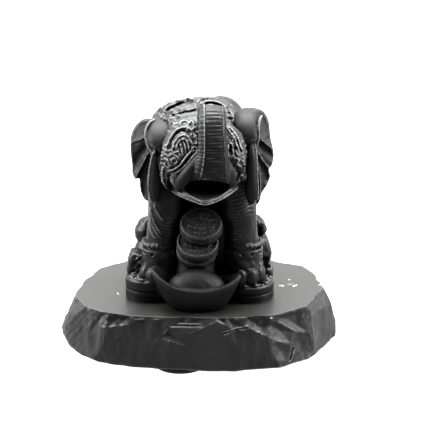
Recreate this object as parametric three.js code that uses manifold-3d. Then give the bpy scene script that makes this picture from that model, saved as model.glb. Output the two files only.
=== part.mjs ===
// A lucky elephant of pressed shungite with its trunk raised, standing on coin stacks behind a boat-shaped
// ingot, on a knapped slab of raw shungite that rests on three round pads.
// Millimetres, +Z up. The elephant looks along -Y. The origin is under the middle of the slab, on the table.
import * as THREE from "three";
import { mergeVertices } from "three/addons/utils/BufferGeometryUtils.js";
import Module from "manifold-3d";

// Driving dimensions of the slab and its pads.
const SLAB_LENGTH = 100;
const SLAB_DEPTH = 67;
const SLAB_THICKNESS = 20;
const SLAB_WAIST_HEIGHT = 8.5;
const SLAB_SIDE_FLARE = 4.2;
const SLAB_FRONT_FLARE = 1.6;
const SLAB_FOOT_TUCK = 2.4;
const SLAB_SPALL_DEPTH = 4;
const SLAB_CHIP_DEPTH = 1.1;
const PAD_DIAMETER = 19;
const PAD_THICKNESS = 2.5;
const PAD_SIDES = 24;

// The figure is drawn on a sculptor's grid of 74 squares to its height, so its forms are shares of it.
const FIGURE_HEIGHT = 74;
const GRID_SQUARES = 74;
const SQUARE = FIGURE_HEIGHT / GRID_SQUARES;

// Coins and ingot are set by their own sizes.
const COIN_DIAMETER = 15.8;
const COIN_THICKNESS = 2.2;
const COIN_RIM = 1.1;
const COIN_RELIEF = 0.5;
const COIN_LEAN_DEGREES = 33;
const COIN_COUNT = 4;
const INGOT_LENGTH = 33;
const INGOT_DEPTH = 16.5;
const INGOT_BASE_SHARE = 0.6;
const INGOT_RIM_HEIGHT = 8.8;
const INGOT_TIP_RISE = 5;
const INGOT_WALL = 1.5;
const INGOT_DOME_HEIGHT = 14;

const TOP_OF_PADS = PAD_THICKNESS;
const TOP_OF_SLAB = PAD_THICKNESS + SLAB_THICKNESS;
const TURN = 2 * Math.PI;

const wasm = await Module();
wasm.setup();

const lerp = THREE.MathUtils.lerp;
const radians = THREE.MathUtils.degToRad;

// A point of the figure, in grid squares, as millimetres above the slab.
const at = (x, y, z) => new THREE.Vector3(x, y, z).multiplyScalar(SQUARE);

// A repeatable irregular number from -1 to 1 for the knapped edge.
const ragged = (n) => {
  const wave = Math.sin(n * 127.1 + 11.7) * 43758.5453;
  return 2 * (wave - Math.floor(wave)) - 1;
};

// One point of a superellipse: power 2 is an ellipse, and more is squarer.
function squircle(angle, a, b, power) {
  const c = Math.cos(angle);
  const s = Math.sin(angle);
  return [
    a * Math.sign(c) * Math.abs(c) ** (2 / power),
    b * Math.sign(s) * Math.abs(s) ** (2 / power),
  ];
}

// A closed skin over rings of as many points each, with a fan over each end. Rings turn right-handed about
// the way from the first ring to the last.
function loft(rings) {
  const sides = rings[0].length;
  const points = rings.flat();
  const middle = (ring) =>
    ring.reduce((sum, p) => sum.add(p), new THREE.Vector3()).divideScalar(sides);
  const first = points.length;
  points.push(middle(rings[0]), middle(rings[rings.length - 1]));
  const index = [];
  for (let r = 0; r + 1 < rings.length; r++) {
    for (let s = 0; s < sides; s++) {
      const a = r * sides + s;
      const b = r * sides + ((s + 1) % sides);
      index.push(a, b, b + sides, a, b + sides, a + sides);
    }
  }
  const last = (rings.length - 1) * sides;
  for (let s = 0; s < sides; s++) {
    const next = (s + 1) % sides;
    index.push(first, next, s, first + 1, last + s, last + next);
  }
  return new THREE.BufferGeometry().setFromPoints(points).setIndex(index);
}

// A closed geometry as a manifold solid.
function solid(geometry) {
  const bare = new THREE.BufferGeometry();
  bare.setAttribute("position", geometry.getAttribute("position"));
  bare.setIndex(geometry.getIndex());
  const merged = mergeVertices(bare, 1e-4);
  const corners = merged.index.array;
  const kept = [];
  for (let i = 0; i < corners.length; i += 3) {
    const [a, b, c] = corners.slice(i, i + 3);
    if (a !== b && b !== c && a !== c) kept.push(a, b, c);
  }
  return new wasm.Manifold(
    new wasm.Mesh({
      numProp: 3,
      vertProperties: new Float32Array(merged.attributes.position.array),
      triVerts: new Uint32Array(kept),
    }),
  );
}

const union = (solids) => solids.reduce((whole, piece) => whole.add(piece));

// A manifold solid as a geometry again.
function geometryOf(manifold) {
  const mesh = manifold.getMesh();
  const geometry = new THREE.BufferGeometry();
  geometry.setAttribute("position", new THREE.BufferAttribute(mesh.vertProperties, 3));
  geometry.setIndex(new THREE.BufferAttribute(mesh.triVerts, 1));
  return geometry;
}

// An egg: a superellipsoid about a centre, turned about X, Y and Z in degrees.
function egg({ centre, radii, power = 2, turn = [0, 0, 0], sides = 16, rows = 8 }) {
  const [rx, ry, rz] = radii.map((r) => r * SQUARE);
  const rings = [];
  for (let row = 1; row < rows; row++) {
    const [share, z] = squircle(-Math.PI / 2 + (Math.PI * row) / rows, 1, rz, power);
    rings.push(
      Array.from({ length: sides }, (_, s) => {
        const [x, y] = squircle((TURN * s) / sides, rx * share, ry * share, power);
        return new THREE.Vector3(x, y, z);
      }),
    );
  }
  const shape = loft(rings);
  shape.applyMatrix4(
    new THREE.Matrix4().makeRotationFromEuler(new THREE.Euler(...turn.map(radians))),
  );
  const c = at(...centre);
  shape.translate(c.x, c.y, c.z);
  return solid(shape);
}

// A limb: squared rings along a smooth line. Each stop is [x, y, z, half width, half depth], and swell gives
// the share by which the skin stands out at a place along and around the limb.
function limb({ stops, rings, sides, power = 2, side = new THREE.Vector3(1, 0, 0), swell = () => 0 }) {
  const line = new THREE.CatmullRomCurve3(stops.map(([x, y, z]) => at(x, y, z)));
  const widths = new THREE.CatmullRomCurve3(stops.map(([, , , w, d]) => at(w, d, 0)));
  const made = [];
  for (let r = 0; r < rings; r++) {
    const t = r / (rings - 1);
    const centre = line.getPoint(t);
    const along = line.getTangent(t);
    const across = side.clone().addScaledVector(along, -side.dot(along)).normalize();
    const forward = new THREE.Vector3().crossVectors(along, across);
    const width = widths.getPoint(t);
    made.push(
      Array.from({ length: sides }, (_, s) => {
        const angle = (TURN * (s + 0.5)) / sides;
        const grown = 1 + swell(t, angle);
        const [a, b] = squircle(angle, width.x * grown, width.y * grown, power);
        return centre.clone().addScaledVector(across, a).addScaledVector(forward, b);
      }),
    );
  }
  return solid(loft(made));
}

// A round turned piece, from a profile of [radius, height] pairs that starts and ends on the axis.
function turned(profile, sides) {
  return new THREE.LatheGeometry(
    profile.map(([r, z]) => new THREE.Vector2(r, z)),
    sides,
  ).rotateX(Math.PI / 2);
}

// The slab's upper edge, corner by corner, as shares of half its length and depth, from the right end round
// the back.
const SLAB_CORNERS = [
  [1.0, -0.05], [0.96, 0.24], [0.94, 0.45], [0.85, 0.7], [0.71, 0.78], [0.58, 0.9], [0.3, 0.97],
  [-0.02, 1.0], [-0.35, 0.96], [-0.61, 0.87], [-0.82, 0.62], [-0.92, 0.22], [-0.98, -0.17],
  [-0.96, -0.36], [-0.88, -0.62], [-0.76, -0.8], [-0.53, -0.92], [-0.19, -0.97], [0.24, -1.0],
  [0.61, -0.89], [0.83, -0.64], [0.88, -0.45],
];

// One level of the slab's edge: the upper edge pushed outwards, and broken back towards the near left corner.
function slabRing(z, flare, chip, spall) {
  const ring = [];
  const upperX = SLAB_LENGTH / 2 - SLAB_SIDE_FLARE;
  const upperY = SLAB_DEPTH / 2 - SLAB_FRONT_FLARE;
  SLAB_CORNERS.forEach(([u, v], i) => {
    const [nextU, nextV] = SLAB_CORNERS[(i + 1) % SLAB_CORNERS.length];
    for (const share of [0, 0.5]) {
      const x = lerp(u, nextU, share);
      const y = lerp(v, nextV, share);
      const out = Math.hypot(x, y);
      const broken = spall * Math.max(0, -x) * Math.max(0, -y);
      const chipped = chip * ragged(i * 3 + share * 2 + z) - broken;
      ring.push(
        new THREE.Vector3(
          x * upperX + (x / out) * (flare * SLAB_SIDE_FLARE + chipped),
          y * upperY + (y / out) * (flare * SLAB_FRONT_FLARE + chipped),
          z,
        ),
      );
    }
  });
  return ring;
}

// The knapped slab: flat above and below, with a waist that stands out and ragged chips.
function slab() {
  const waist = TOP_OF_PADS + SLAB_WAIST_HEIGHT;
  const shoulder = lerp(waist, TOP_OF_SLAB, 0.55);
  const footFlare = 1 - SLAB_FOOT_TUCK / SLAB_SIDE_FLARE;
  const rings = [
    slabRing(TOP_OF_PADS, footFlare, SLAB_CHIP_DEPTH / 2, SLAB_SPALL_DEPTH),
    slabRing(waist, 1, SLAB_CHIP_DEPTH, SLAB_SPALL_DEPTH / 2),
    slabRing(shoulder, 0.5, SLAB_CHIP_DEPTH / 2, 0),
    slabRing(TOP_OF_SLAB, 0, 0, 0),
  ];
  const box = new THREE.Box3().setFromPoints(rings.flat());
  const middle = box.getCenter(new THREE.Vector3());
  const size = box.getSize(new THREE.Vector3());
  for (const p of rings.flat()) {
    p.x = ((p.x - middle.x) * SLAB_LENGTH) / size.x;
    p.y = ((p.y - middle.y) * SLAB_DEPTH) / size.y;
  }
  return loft(rings);
}

// Three pads: one near the front edge, a little left of the middle, and two behind.
const PAD_PLACES = {
  pad_front: [-0.13, -0.58],
  pad_back_left: [-0.52, 0.4],
  pad_back_right: [0.52, 0.4],
};

// The body, the hump of the rump and the chest.
function body() {
  return [
    egg({ centre: [0.2, 9, 46.2], radii: [18.2, 21, 21], power: 2.5, sides: 20, rows: 10 }),
    egg({ centre: [7.8, 19, 57], radii: [9.2, 11, 10], sides: 14, rows: 8 }),
    egg({ centre: [1, -3, 45], radii: [16, 12, 16], power: 2.3, sides: 12, rows: 6 }),
  ];
}

// The saddle cloth: a skin over the back, cut out of a slightly larger back by an upright block.
function saddleCloth() {
  const skin = egg({ centre: [0.2, 9, 45.2], radii: [20.1, 20, 22.7], power: 2.5, sides: 20, rows: 10 });
  const low = at(-24, 0, 47);
  const high = at(24, 24, 74);
  const block = new THREE.BoxGeometry(high.x - low.x, high.y - low.y, high.z - low.z);
  block.translate((low.x + high.x) / 2, (low.y + high.y) / 2, (low.z + high.z) / 2);
  return skin.intersect(solid(block));
}

// The head, turned a little to its left, with jowls, eyes and the folds of the lip beside the trunk.
const HEAD_YAW = 8;
const FACE_LEAN = 18;
const HOOD_LEAN = 24;
function head() {
  const turn = [0, 0, HEAD_YAW];
  const eye = (centre) => egg({ centre, radii: [3, 1.8, 3.6], turn: [0, 20, 0], sides: 8, rows: 6 });
  const lipFold = (stops) => limb({ stops, rings: 6, sides: 8 });
  return [
    egg({
      centre: [1.5, -9.5, 54.5],
      radii: [13.9, 10.8, 12.6],
      power: 2.4,
      turn: [-FACE_LEAN, 0, HEAD_YAW],
      sides: 18,
      rows: 10,
    }),
    egg({ centre: [1.9, -10.5, 47.6], radii: [15.2, 8.8, 8], power: 2.3, turn, sides: 16, rows: 6 }),
    eye([-5.8, -18.4, 57.6]),
    eye([11.4, -16.4, 57]),
    lipFold([
      [-0.6, -20, 53, 1.8, 1.8],
      [-3, -20.4, 50.4, 2, 2],
      [-6.4, -19.4, 47, 2.1, 2],
      [-7.8, -17.6, 44.4, 1.9, 1.7],
    ]),
    lipFold([
      [10.8, -19, 53, 1.6, 1.6],
      [11.6, -18.8, 49.6, 1.8, 1.8],
      [12.2, -17.6, 46.6, 1.9, 1.8],
      [12, -16, 44.4, 1.6, 1.5],
    ]),
  ];
}

// The open mouth: a pointed lower jaw under the flared root of the trunk, with the hollow cut between them.
const jaw = () =>
  limb({
    stops: [
      [1.6, -5, 43.6, 13.5, 4],
      [2, -13, 42, 11.6, 3.6],
      [2.3, -19, 40.6, 7.6, 2.8],
      [2.4, -23.6, 39.6, 1.6, 1.1],
    ],
    rings: 7,
    sides: 12,
    power: 2.2,
  });
const mouthHollow = () =>
  limb({
    stops: [
      [3, -9, 43.6, 5.5, 2],
      [3, -16, 43.6, 7.8, 3],
      [3, -22, 43.7, 7.2, 3.2],
      [3, -28, 43.8, 6.4, 3.2],
    ],
    rings: 5,
    sides: 12,
  });

// The trunk: raised in front of the forehead and bent back over it, with wrinkles across its flat face.
const TRUNK_WRINKLES = 11;
function trunk() {
  return limb({
    stops: [
      [2.6, -11, 46.5, 11.5, 5.5],
      [3.2, -17, 47.6, 10.2, 4.2],
      [4.6, -19.8, 51, 6.6, 4.4],
      [5.9, -19.6, 55.5, 5, 4.4],
      [6, -19, 61, 4.6, 4.2],
      [5.4, -17.6, 66, 4.3, 3.9],
      [4.8, -14.2, 69.7, 4.1, 3.6],
      [4.4, -10.4, 70.2, 4.4, 3.4],
      [4.2, -8, 68.6, 4.9, 3.2],
    ],
    rings: 3 * TRUNK_WRINKLES + 1,
    sides: 12,
    power: 3.4,
    swell: (t) => (t > 0.2 && t < 0.93 ? 0.035 * Math.cos(TURN * t * TRUNK_WRINKLES) : 0),
  });
}

// Each ear is a fan of spokes about a hub: pairs of degrees from straight up, outwards and down, and reach.
const EARS = [
  {
    side: -1,
    hub: [-16.4, -7, 54.2],
    reach: [
      [-8, 10], [30, 9.6], [70, 7.8], [95, 7.4], [125, 8.6],
      [150, 11.6], [163, 14.6], [172, 18.8], [190, 20.4],
    ],
    folds: [96, 150, 181],
    hood: { centre: [-14.4, -7, 59.9], radii: [4.9, 5.4, 6.2] },
  },
  {
    side: 1,
    hub: [18.4, -7, 54.8],
    reach: [
      [-20, 12.6], [22, 12.4], [49, 9], [70, 7.2], [95, 7.8],
      [126, 9.8], [148, 11.8], [158, 16], [171, 20], [192, 22],
    ],
    folds: [55, 130, 157, 179],
    hood: { centre: [15.6, -7, 61.8], radii: [4.9, 5.6, 7] },
  },
];
const EAR_THICKNESS = 2;
const EAR_FOLD_HEIGHT = 1.9;
const EAR_FOLD_WIDTH = 11;
function ear({ side, hub, reach, folds }) {
  const spokes = 22;
  const steps = 4;
  const outline = new THREE.CatmullRomCurve3(reach.map(([degrees, r]) => new THREE.Vector3(degrees, r, 0)));
  const skin = (share, step, offset) => {
    const { x: degrees, y: rim } = outline.getPoint(share);
    const out = step / steps;
    const fold = folds.reduce((sum, f) => sum + Math.exp(-(((degrees - f) / EAR_FOLD_WIDTH) ** 2)), 0);
    const lift = (0.35 - fold) * EAR_FOLD_HEIGHT * Math.sin(Math.PI * out ** 0.7 * 0.8);
    return at(
      hub[0] + side * Math.sin(radians(degrees)) * rim * out,
      hub[1] + 4.6 * out * out + lift + offset,
      hub[2] + Math.cos(radians(degrees)) * rim * out,
    );
  };
  const rings = [];
  for (let s = 0; s <= spokes; s++) {
    const ring = [];
    for (let step = 0; step <= steps; step++) ring.push(skin(s / spokes, step, -EAR_THICKNESS / 2));
    for (let step = steps; step >= 0; step--) ring.push(skin(s / spokes, step, EAR_THICKNESS / 2));
    rings.push(side < 0 ? ring : ring.reverse());
  }
  return solid(loft(rings));
}

// The ear's upper edge rolls forwards into a smooth hood.
const earHood = ({ hood }) => egg({ ...hood, turn: [-HOOD_LEAN, 0, 0], sides: 14, rows: 8 });

// A foreleg: a wrinkled column that spreads into a foot, with toenails and an anklet.
const STANCE_MIDDLE = 1.3;
function foreleg(side) {
  const spread = (x) => STANCE_MIDDLE + side * x;
  const leg = limb({
    stops: [
      [spread(14.8), -9.8, 4, 7.3, 7.8],
      [spread(14.8), -9.6, 11, 7, 7.3],
      [spread(14.2), -9, 17, 6.2, 6.4],
      [spread(13.7), -8.6, 24, 6, 6.2],
      [spread(13.2), -8, 32, 6, 6.4],
      [spread(12.6), -6, 40, 6.4, 7.4],
      [spread(10.6), -1, 48, 6, 7],
    ],
    rings: 9,
    sides: 14,
  });
  const anklet = egg({ centre: [spread(14.2), -9.1, 19.5], radii: [7, 7.2, 2], sides: 14, rows: 4 });
  return [leg, anklet, ...toenails(side, spread(14.8), -9.7)];
}

// Three toenails round the front of a foot, turned outwards.
function toenails(side, x, y) {
  return [-60, -25, 12].map((degrees) => {
    const turn = radians(-90 - side * degrees);
    return egg({
      centre: [x + 6.9 * Math.cos(turn), y + 7.3 * Math.sin(turn), 10.4],
      radii: [1.7, 1.4, 3.8],
      sides: 8,
      rows: 4,
    });
  });
}

// A hind leg, from the hip down to its foot.
function hindleg(side) {
  return limb({
    stops: [
      [side * 13.6, 19.4, 4, 7, 7.4],
      [side * 13.4, 19.6, 10, 6.8, 7.2],
      [side * 12.4, 20, 18, 6, 6.6],
      [side * 11.4, 20, 28, 6.6, 8],
      [side * 9.6, 18, 38, 7.6, 10.4],
      [side * 8, 15, 47, 7.6, 10],
    ],
    rings: 8,
    sides: 12,
  });
}

// A pile of two thick coins under a foot.
function footCoins(x, y, radius, height, sides) {
  const half = height / 2;
  const groove = 0.35;
  const profile = [
    [0, 0], [radius - groove, 0], [radius, groove], [radius, half - groove], [radius - groove, half],
    [radius, half + groove], [radius, height - groove], [radius - groove, height], [0, height],
  ];
  const shape = turned(profile.map(([r, z]) => [r * SQUARE, z * SQUARE]), sides);
  const place = at(x, y, 0);
  return solid(shape.translate(place.x, place.y, place.z));
}

// One round coin with a raised rim, face up about the origin.
function coin() {
  const r = COIN_DIAMETER / 2;
  const t = COIN_THICKNESS;
  return solid(
    turned(
      [
        [0, -t / 2], [r, -t / 2], [r, t / 2], [r - COIN_RIM, t / 2],
        [r - COIN_RIM - COIN_RELIEF, t / 2 - COIN_RELIEF], [0, t / 2 - COIN_RELIEF],
      ],
      16,
    ),
  );
}

// Coins that lean back between the forelegs, each lapping the one below it.
function leaningCoins() {
  const coins = [];
  for (let n = 0; n < COIN_COUNT; n++) {
    const place = at(1 - 0.75 * n, -15 - 0.8 * n, 28.8 - 2.95 * n);
    coins.push(coin().rotate([COIN_LEAN_DEGREES, 0, 0]).translate([place.x, place.y, place.z]));
  }
  return coins;
}

// The boat-shaped ingot: a bowl that rises to two tips, with a dome in it.
function ingot() {
  const sides = 24;
  const bowl = (share, depthShare, height, tips) =>
    Array.from({ length: sides }, (_, s) => {
      const angle = (TURN * s) / sides;
      const lift = tips * Math.abs(Math.cos(angle)) ** 2.4;
      return new THREE.Vector3(
        (Math.cos(angle) * INGOT_LENGTH * share) / 2,
        (Math.sin(angle) * INGOT_DEPTH * depthShare) / 2,
        height + lift,
      );
    });
  const wall = (INGOT_WALL * 2) / INGOT_LENGTH;
  const depthWall = (INGOT_WALL * 2) / INGOT_DEPTH;
  const rim = INGOT_RIM_HEIGHT;
  const outer = loft([
    bowl(INGOT_BASE_SHARE, INGOT_BASE_SHARE, 0, 0),
    bowl(lerp(INGOT_BASE_SHARE, 1, 0.37), lerp(INGOT_BASE_SHARE, 1, 0.46), rim * 0.38, 0),
    bowl(lerp(INGOT_BASE_SHARE, 1, 0.74), lerp(INGOT_BASE_SHARE, 1, 0.82), rim * 0.75, INGOT_TIP_RISE * 0.45),
    bowl(1, 1, rim, INGOT_TIP_RISE),
    bowl(1 - wall, 1 - depthWall, rim, INGOT_TIP_RISE * 0.95),
    bowl(0.7, 0.78, rim * 0.78, 0.4),
  ]);
  const dome = new THREE.SphereGeometry(1, 16, 6);
  dome.rotateX(Math.PI / 2);
  dome.scale(INGOT_LENGTH * 0.31, INGOT_DEPTH * 0.41, INGOT_DOME_HEIGHT - rim * 0.6);
  dome.translate(0, 0, rim * 0.6);
  return solid(outer)
    .add(solid(dome).trimByPlane([0, 0, 1], rim * 0.6))
    .rotate([0, 2.5, 0])
    .translate([-0.8 * SQUARE, -21.8 * SQUARE, 0.45])
    .trimByPlane([0, 0, 1], 0);
}

// The heap of treasure that fills the space under the belly: a mound with peaches, a gourd and ingots.
function treasure() {
  const mound = limb({
    stops: [
      [0.8, -14, 13, 9.5, 12],
      [0.6, -6, 15, 16, 14],
      [0.2, 6, 15, 19.5, 15],
      [0, 16, 14, 17, 14],
      [0, 24, 12, 9, 10],
    ],
    rings: 6,
    sides: 14,
    power: 3,
  });
  const lump = (centre, radii, lean, power = 2) =>
    egg({ centre, radii, turn: [0, lean, 0], power, sides: 10, rows: 6 });
  return [
    mound,
    lump([-18.2, 4, 20.2], [4.4, 5.4, 5.2], 0),
    lump([-18.6, 2, 14.2], [4.7, 5, 3.8], 0),
    lump([-20.6, -3.4, 9.4], [5.6, 5.6, 3.6], 14, 2.8),
    lump([19.8, 2.6, 22], [4.2, 4.4, 4], 35),
    lump([20.4, 2.4, 14.2], [6, 6, 6.6], -12, 2.3),
    lump([22, -1.4, 6.8], [5, 5, 3.2], 0, 2.8),
    lump([-18.4, 11.5, 9], [5, 6, 5.8], 0),
    lump([18.4, 11.5, 9], [5, 6, 5.8], 0),
  ];
}

// The tail, lying against the rump.
const tail = () =>
  limb({
    stops: [
      [2, 27.5, 50, 2.2, 2],
      [2.6, 30.2, 42, 1.6, 1.6],
      [0.6, 30.4, 33, 1.5, 1.5],
      [-2.4, 29.6, 24, 2.6, 1.8],
      [-3.4, 28.4, 17, 1.2, 1],
    ],
    rings: 7,
    sides: 8,
  });

// The whole figure is one casting.
function figure() {
  const base = [
    footCoins(-17.6, -9.2, 8.7, 8, 18),
    footCoins(17.8, -9.2, 9.2, 6, 18),
    footCoins(-14, 19.5, 9.4, 6.5, 14),
    footCoins(14, 19.5, 9.4, 6.5, 14),
  ];
  const whole = union([
    ...body(),
    saddleCloth(),
    ...head(),
    jaw(),
    ...EARS.map(ear),
    ...EARS.map(earHood),
    trunk(),
    ...foreleg(-1),
    ...foreleg(1),
    hindleg(-1),
    hindleg(1),
    ...base,
    ...leaningCoins(),
    ingot(),
    ...treasure(),
    tail(),
  ]);
  return whole.subtract(mouthHollow()).trimByPlane([0, 0, 1], 0);
}

function material(hex, roughness) {
  return new THREE.MeshStandardMaterial({ color: hex, roughness, metalness: 0 });
}

const part = new THREE.Group();

const slabMesh = new THREE.Mesh(slab(), material(0x3a3a3b, 0.8));
slabMesh.name = "shungite_slab";
part.add(slabMesh);

for (const [name, [u, v]] of Object.entries(PAD_PLACES)) {
  const shape = turned(
    [[0, 0], [PAD_DIAMETER / 2, 0], [PAD_DIAMETER / 2, PAD_THICKNESS], [0, PAD_THICKNESS]],
    PAD_SIDES,
  );
  const pad = new THREE.Mesh(shape, material(0x101010, 0.9));
  pad.name = name;
  pad.position.set((u * SLAB_LENGTH) / 2, (v * SLAB_DEPTH) / 2, 0);
  part.add(pad);
}

const elephant = new THREE.Mesh(geometryOf(figure()), material(0x262627, 0.55));
elephant.name = "elephant_figurine";
elephant.position.z = TOP_OF_SLAB;
part.add(elephant);

export default part;
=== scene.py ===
"""A shungite elephant with its trunk raised, on a knapped slab of raw shungite: the dressed model."""
import math

import bpy
import mathutils
import numpy as np
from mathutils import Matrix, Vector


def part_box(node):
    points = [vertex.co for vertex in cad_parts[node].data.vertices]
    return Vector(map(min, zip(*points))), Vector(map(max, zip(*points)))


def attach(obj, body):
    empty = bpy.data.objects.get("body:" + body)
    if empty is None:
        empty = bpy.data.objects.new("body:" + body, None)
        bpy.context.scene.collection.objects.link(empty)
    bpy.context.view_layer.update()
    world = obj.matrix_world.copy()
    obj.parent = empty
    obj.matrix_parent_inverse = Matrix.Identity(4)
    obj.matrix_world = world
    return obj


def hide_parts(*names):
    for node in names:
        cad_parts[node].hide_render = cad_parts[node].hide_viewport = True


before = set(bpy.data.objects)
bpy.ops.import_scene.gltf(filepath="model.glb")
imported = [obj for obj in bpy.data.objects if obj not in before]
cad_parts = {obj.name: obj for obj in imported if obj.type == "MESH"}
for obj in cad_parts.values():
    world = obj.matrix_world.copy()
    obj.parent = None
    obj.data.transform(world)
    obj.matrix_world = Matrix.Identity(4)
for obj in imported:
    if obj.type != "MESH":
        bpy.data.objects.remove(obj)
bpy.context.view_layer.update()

import openvdb

MM = 0.001
TAU = 2 * math.pi
# The grids hold single precision numbers.
F = np.float32
SLAB_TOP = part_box("shungite_slab")[1][2] / MM
GRID_SCALE = 1.0
# The distance in millimetres at which a grid is empty.
FAR = 5.0
# The viewer's eye and the point it looks at, in millimetres, and the lens in pixels of the picture.
EYE = (5.86, -524.557, 220.277)
AIM = (5.86, 8.034, 47.227)
FOCAL_PIXELS = 1530.05
PICTURE_PIXELS = 430
SENSOR_MM = 36
# The upright plane on which the carving is drawn.
DRAWN_Y = -19
# How sharply a surface bends outwards, per millimetre, where the lightening of edges starts to show and where
# it is full: partly real rubbing and partly a painted highlight on crests.
RUBBED_AND_GLINT = (0.6, 4.3)
# An edge shorter than this share of a grid step is evened out.
SHORT_EDGE = 0.4


# Distance fields.

def soft_min(a, b, k):
    """The lower of two distances, with a fillet of about k."""
    if k <= 0:
        return np.minimum(a, b)
    h = np.clip(0.5 + 0.5 * (b - a) / k, 0, 1)
    return b + (a - b) * h - k * h * (1 - h)


def soft_max(a, b, k):
    """The higher of two distances, with a fillet of about k."""
    return -soft_min(-a, -b, k)


def smooth(low, high, v):
    """0 below low and 1 above high, with a smooth rise between them."""
    t = np.clip((v - low) / (high - low), 0, 1)
    return t * t * (3 - 2 * t)


def bell(v, width):
    return np.exp(-((v / width) ** 2))


def murmur(x, y, z, size, seed):
    """A smooth uneven field from about -1 to 1, with lumps of the given size."""
    rng = np.random.default_rng(seed)
    total = 0
    for _ in range(5):
        k = rng.normal(size=3)
        k *= (TAU / size) * rng.uniform(0.6, 1.3) / np.linalg.norm(k)
        total = total + np.sin(F(k[0]) * x + F(k[1]) * y + F(k[2]) * z + F(rng.uniform(0, TAU)))
    return total / 2.6


class Field:
    """Distances in millimetres on a grid of small cubes, negative inside, about the figure's own origin."""

    def __init__(self, low, high, step):
        self.step = step * GRID_SCALE
        self.low = np.array(low, float)
        counts = np.ceil((np.array(high) - self.low) / self.step).astype(int) + 1
        self.axes = [(self.low[i] + self.step * np.arange(counts[i])).astype(F) for i in range(3)]
        self.d = np.full(counts, FAR, F)

    def window(self, low, high, margin=2.5):
        cut = []
        for i in range(3):
            a = int(max(0, math.floor((low[i] - margin - self.low[i]) / self.step)))
            b = int(min(len(self.axes[i]), math.ceil((high[i] + margin - self.low[i]) / self.step) + 1))
            cut.append(slice(a, max(a, b)))
        x, y, z = (self.axes[i][cut[i]] for i in range(3))
        return tuple(cut), x[:, None, None], y[None, :, None], z[None, None, :]

    def add(self, form, k=0.0):
        cut, x, y, z = self.window(*form.box)
        if 0 in self.d[cut].shape:
            return
        self.d[cut] = soft_min(self.d[cut], form(x, y, z), k)

    def cut(self, form, k=0.0):
        cut, x, y, z = self.window(*form.box)
        self.d[cut] = soft_max(self.d[cut], -form(x, y, z), k)

    def raise_by(self, relief, low, high):
        """Moves the surface outwards by a relief in millimetres."""
        cut, x, y, z = self.window(low, high, 0)
        self.d[cut] -= relief(x, y, z)

    def floor(self, z0=0.0):
        self.d = np.maximum(self.d, z0 - self.axes[2][None, None, :])

    def mesh(self, name, slot, material, nodes=("elephant_figurine",)):
        grid = openvdb.FloatGrid(FAR)
        grid.copyFromArray(np.ascontiguousarray(self.d, dtype=np.float64))
        points, quads = grid.convertToQuads(0.0)
        points = evened(points, quads)
        # Outward bends are lightened in the materials: rubbing and a painted highlight on crests.
        wear_and_glint = smooth(*RUBBED_AND_GLINT, self.bend(points))
        points = (points * self.step + self.low) * MM
        points[:, 2] += SLAB_TOP * MM
        quads = quads[:, ::-1]
        data = bpy.data.meshes.new(name)
        data.vertices.add(len(points))
        data.vertices.foreach_set("co", points.astype(F).ravel())
        data.loops.add(quads.size)
        data.loops.foreach_set("vertex_index", quads.astype(np.int32).ravel())
        data.polygons.add(len(quads))
        data.polygons.foreach_set("loop_start", np.arange(0, quads.size, 4, dtype=np.int32))
        data.update(calc_edges=True)
        data.validate()
        return finish_piece(data, name, material, nodes, wear_and_glint)

    def bend(self, places):
        """How sharply the surface bends outwards at places on the grid, per millimetre."""
        i = np.clip(np.rint(places).astype(int), 2, np.array(self.d.shape) - 3)
        total = 0
        for reach in (1, 2):
            for axis in np.eye(3, dtype=int) * reach:
                ahead, behind = (self.d[tuple((i + way * axis).T)] for way in (1, -1))
                total = total + (ahead + behind - 2 * self.d[tuple(i.T)]) / (reach * self.step) ** 2
        return total / 2


def evened(points, quads):
    """Moves the ends of very short edges towards their neighbours, in steps of the grid."""
    a, b = quads.ravel(), np.roll(quads, -1, axis=1).ravel()
    share = 1 / np.bincount(a, minlength=len(points))[:, None]
    for _ in range(3):
        short = np.linalg.norm(points[a] - points[b], axis=1) < SHORT_EDGE
        ends = np.unique(np.concatenate([a[short], b[short]]))
        mean = np.stack([np.bincount(a, points[b, k], len(points)) for k in range(3)], axis=1) * share
        points[ends] = 0.4 * points[ends] + 0.6 * mean[ends]
    return points


def placed(name, data):
    """An object of the scene with the given data."""
    obj = bpy.data.objects.new(name, data)
    bpy.context.scene.collection.objects.link(obj)
    return obj


def finish_piece(data, name, material, nodes, wear_and_glint=None):
    """Makes a mesh one of the dressed pieces, with how much each point is lightened kept for the materials:
    rubbing and painted highlight on edges.
    """
    data.polygons.foreach_set("use_smooth", np.ones(len(data.polygons), dtype=bool))
    if wear_and_glint is not None:
        data.attributes.new("wear_and_glint", "FLOAT", "POINT").data.foreach_set("value", wear_and_glint.astype(F).ravel())
    obj = placed(name, data)
    data.materials.append(material)
    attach(obj, "root")
    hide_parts(*nodes)
    return obj


class Form:
    """A distance function with the box that it fills."""

    def __init__(self, low, high, function):
        self.box = (low, high)
        self.function = function

    def __call__(self, x, y, z):
        return self.function(x, y, z)


def turned_about(centre, turn, x, y, z):
    """Coordinates about a centre, in a frame turned about X, Y and Z in degrees."""
    px, py, pz = x - centre[0], y - centre[1], z - centre[2]
    ax, ay, az = (math.radians(a) for a in turn)
    rx = np.array([[1, 0, 0], [0, math.cos(ax), -math.sin(ax)], [0, math.sin(ax), math.cos(ax)]])
    ry = np.array([[math.cos(ay), 0, math.sin(ay)], [0, 1, 0], [-math.sin(ay), 0, math.cos(ay)]])
    rz = np.array([[math.cos(az), -math.sin(az), 0], [math.sin(az), math.cos(az), 0], [0, 0, 1]])
    m = (rx @ ry @ rz).T.astype(F)
    return [m[i, 0] * px + m[i, 1] * py + m[i, 2] * pz for i in range(3)]


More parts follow.
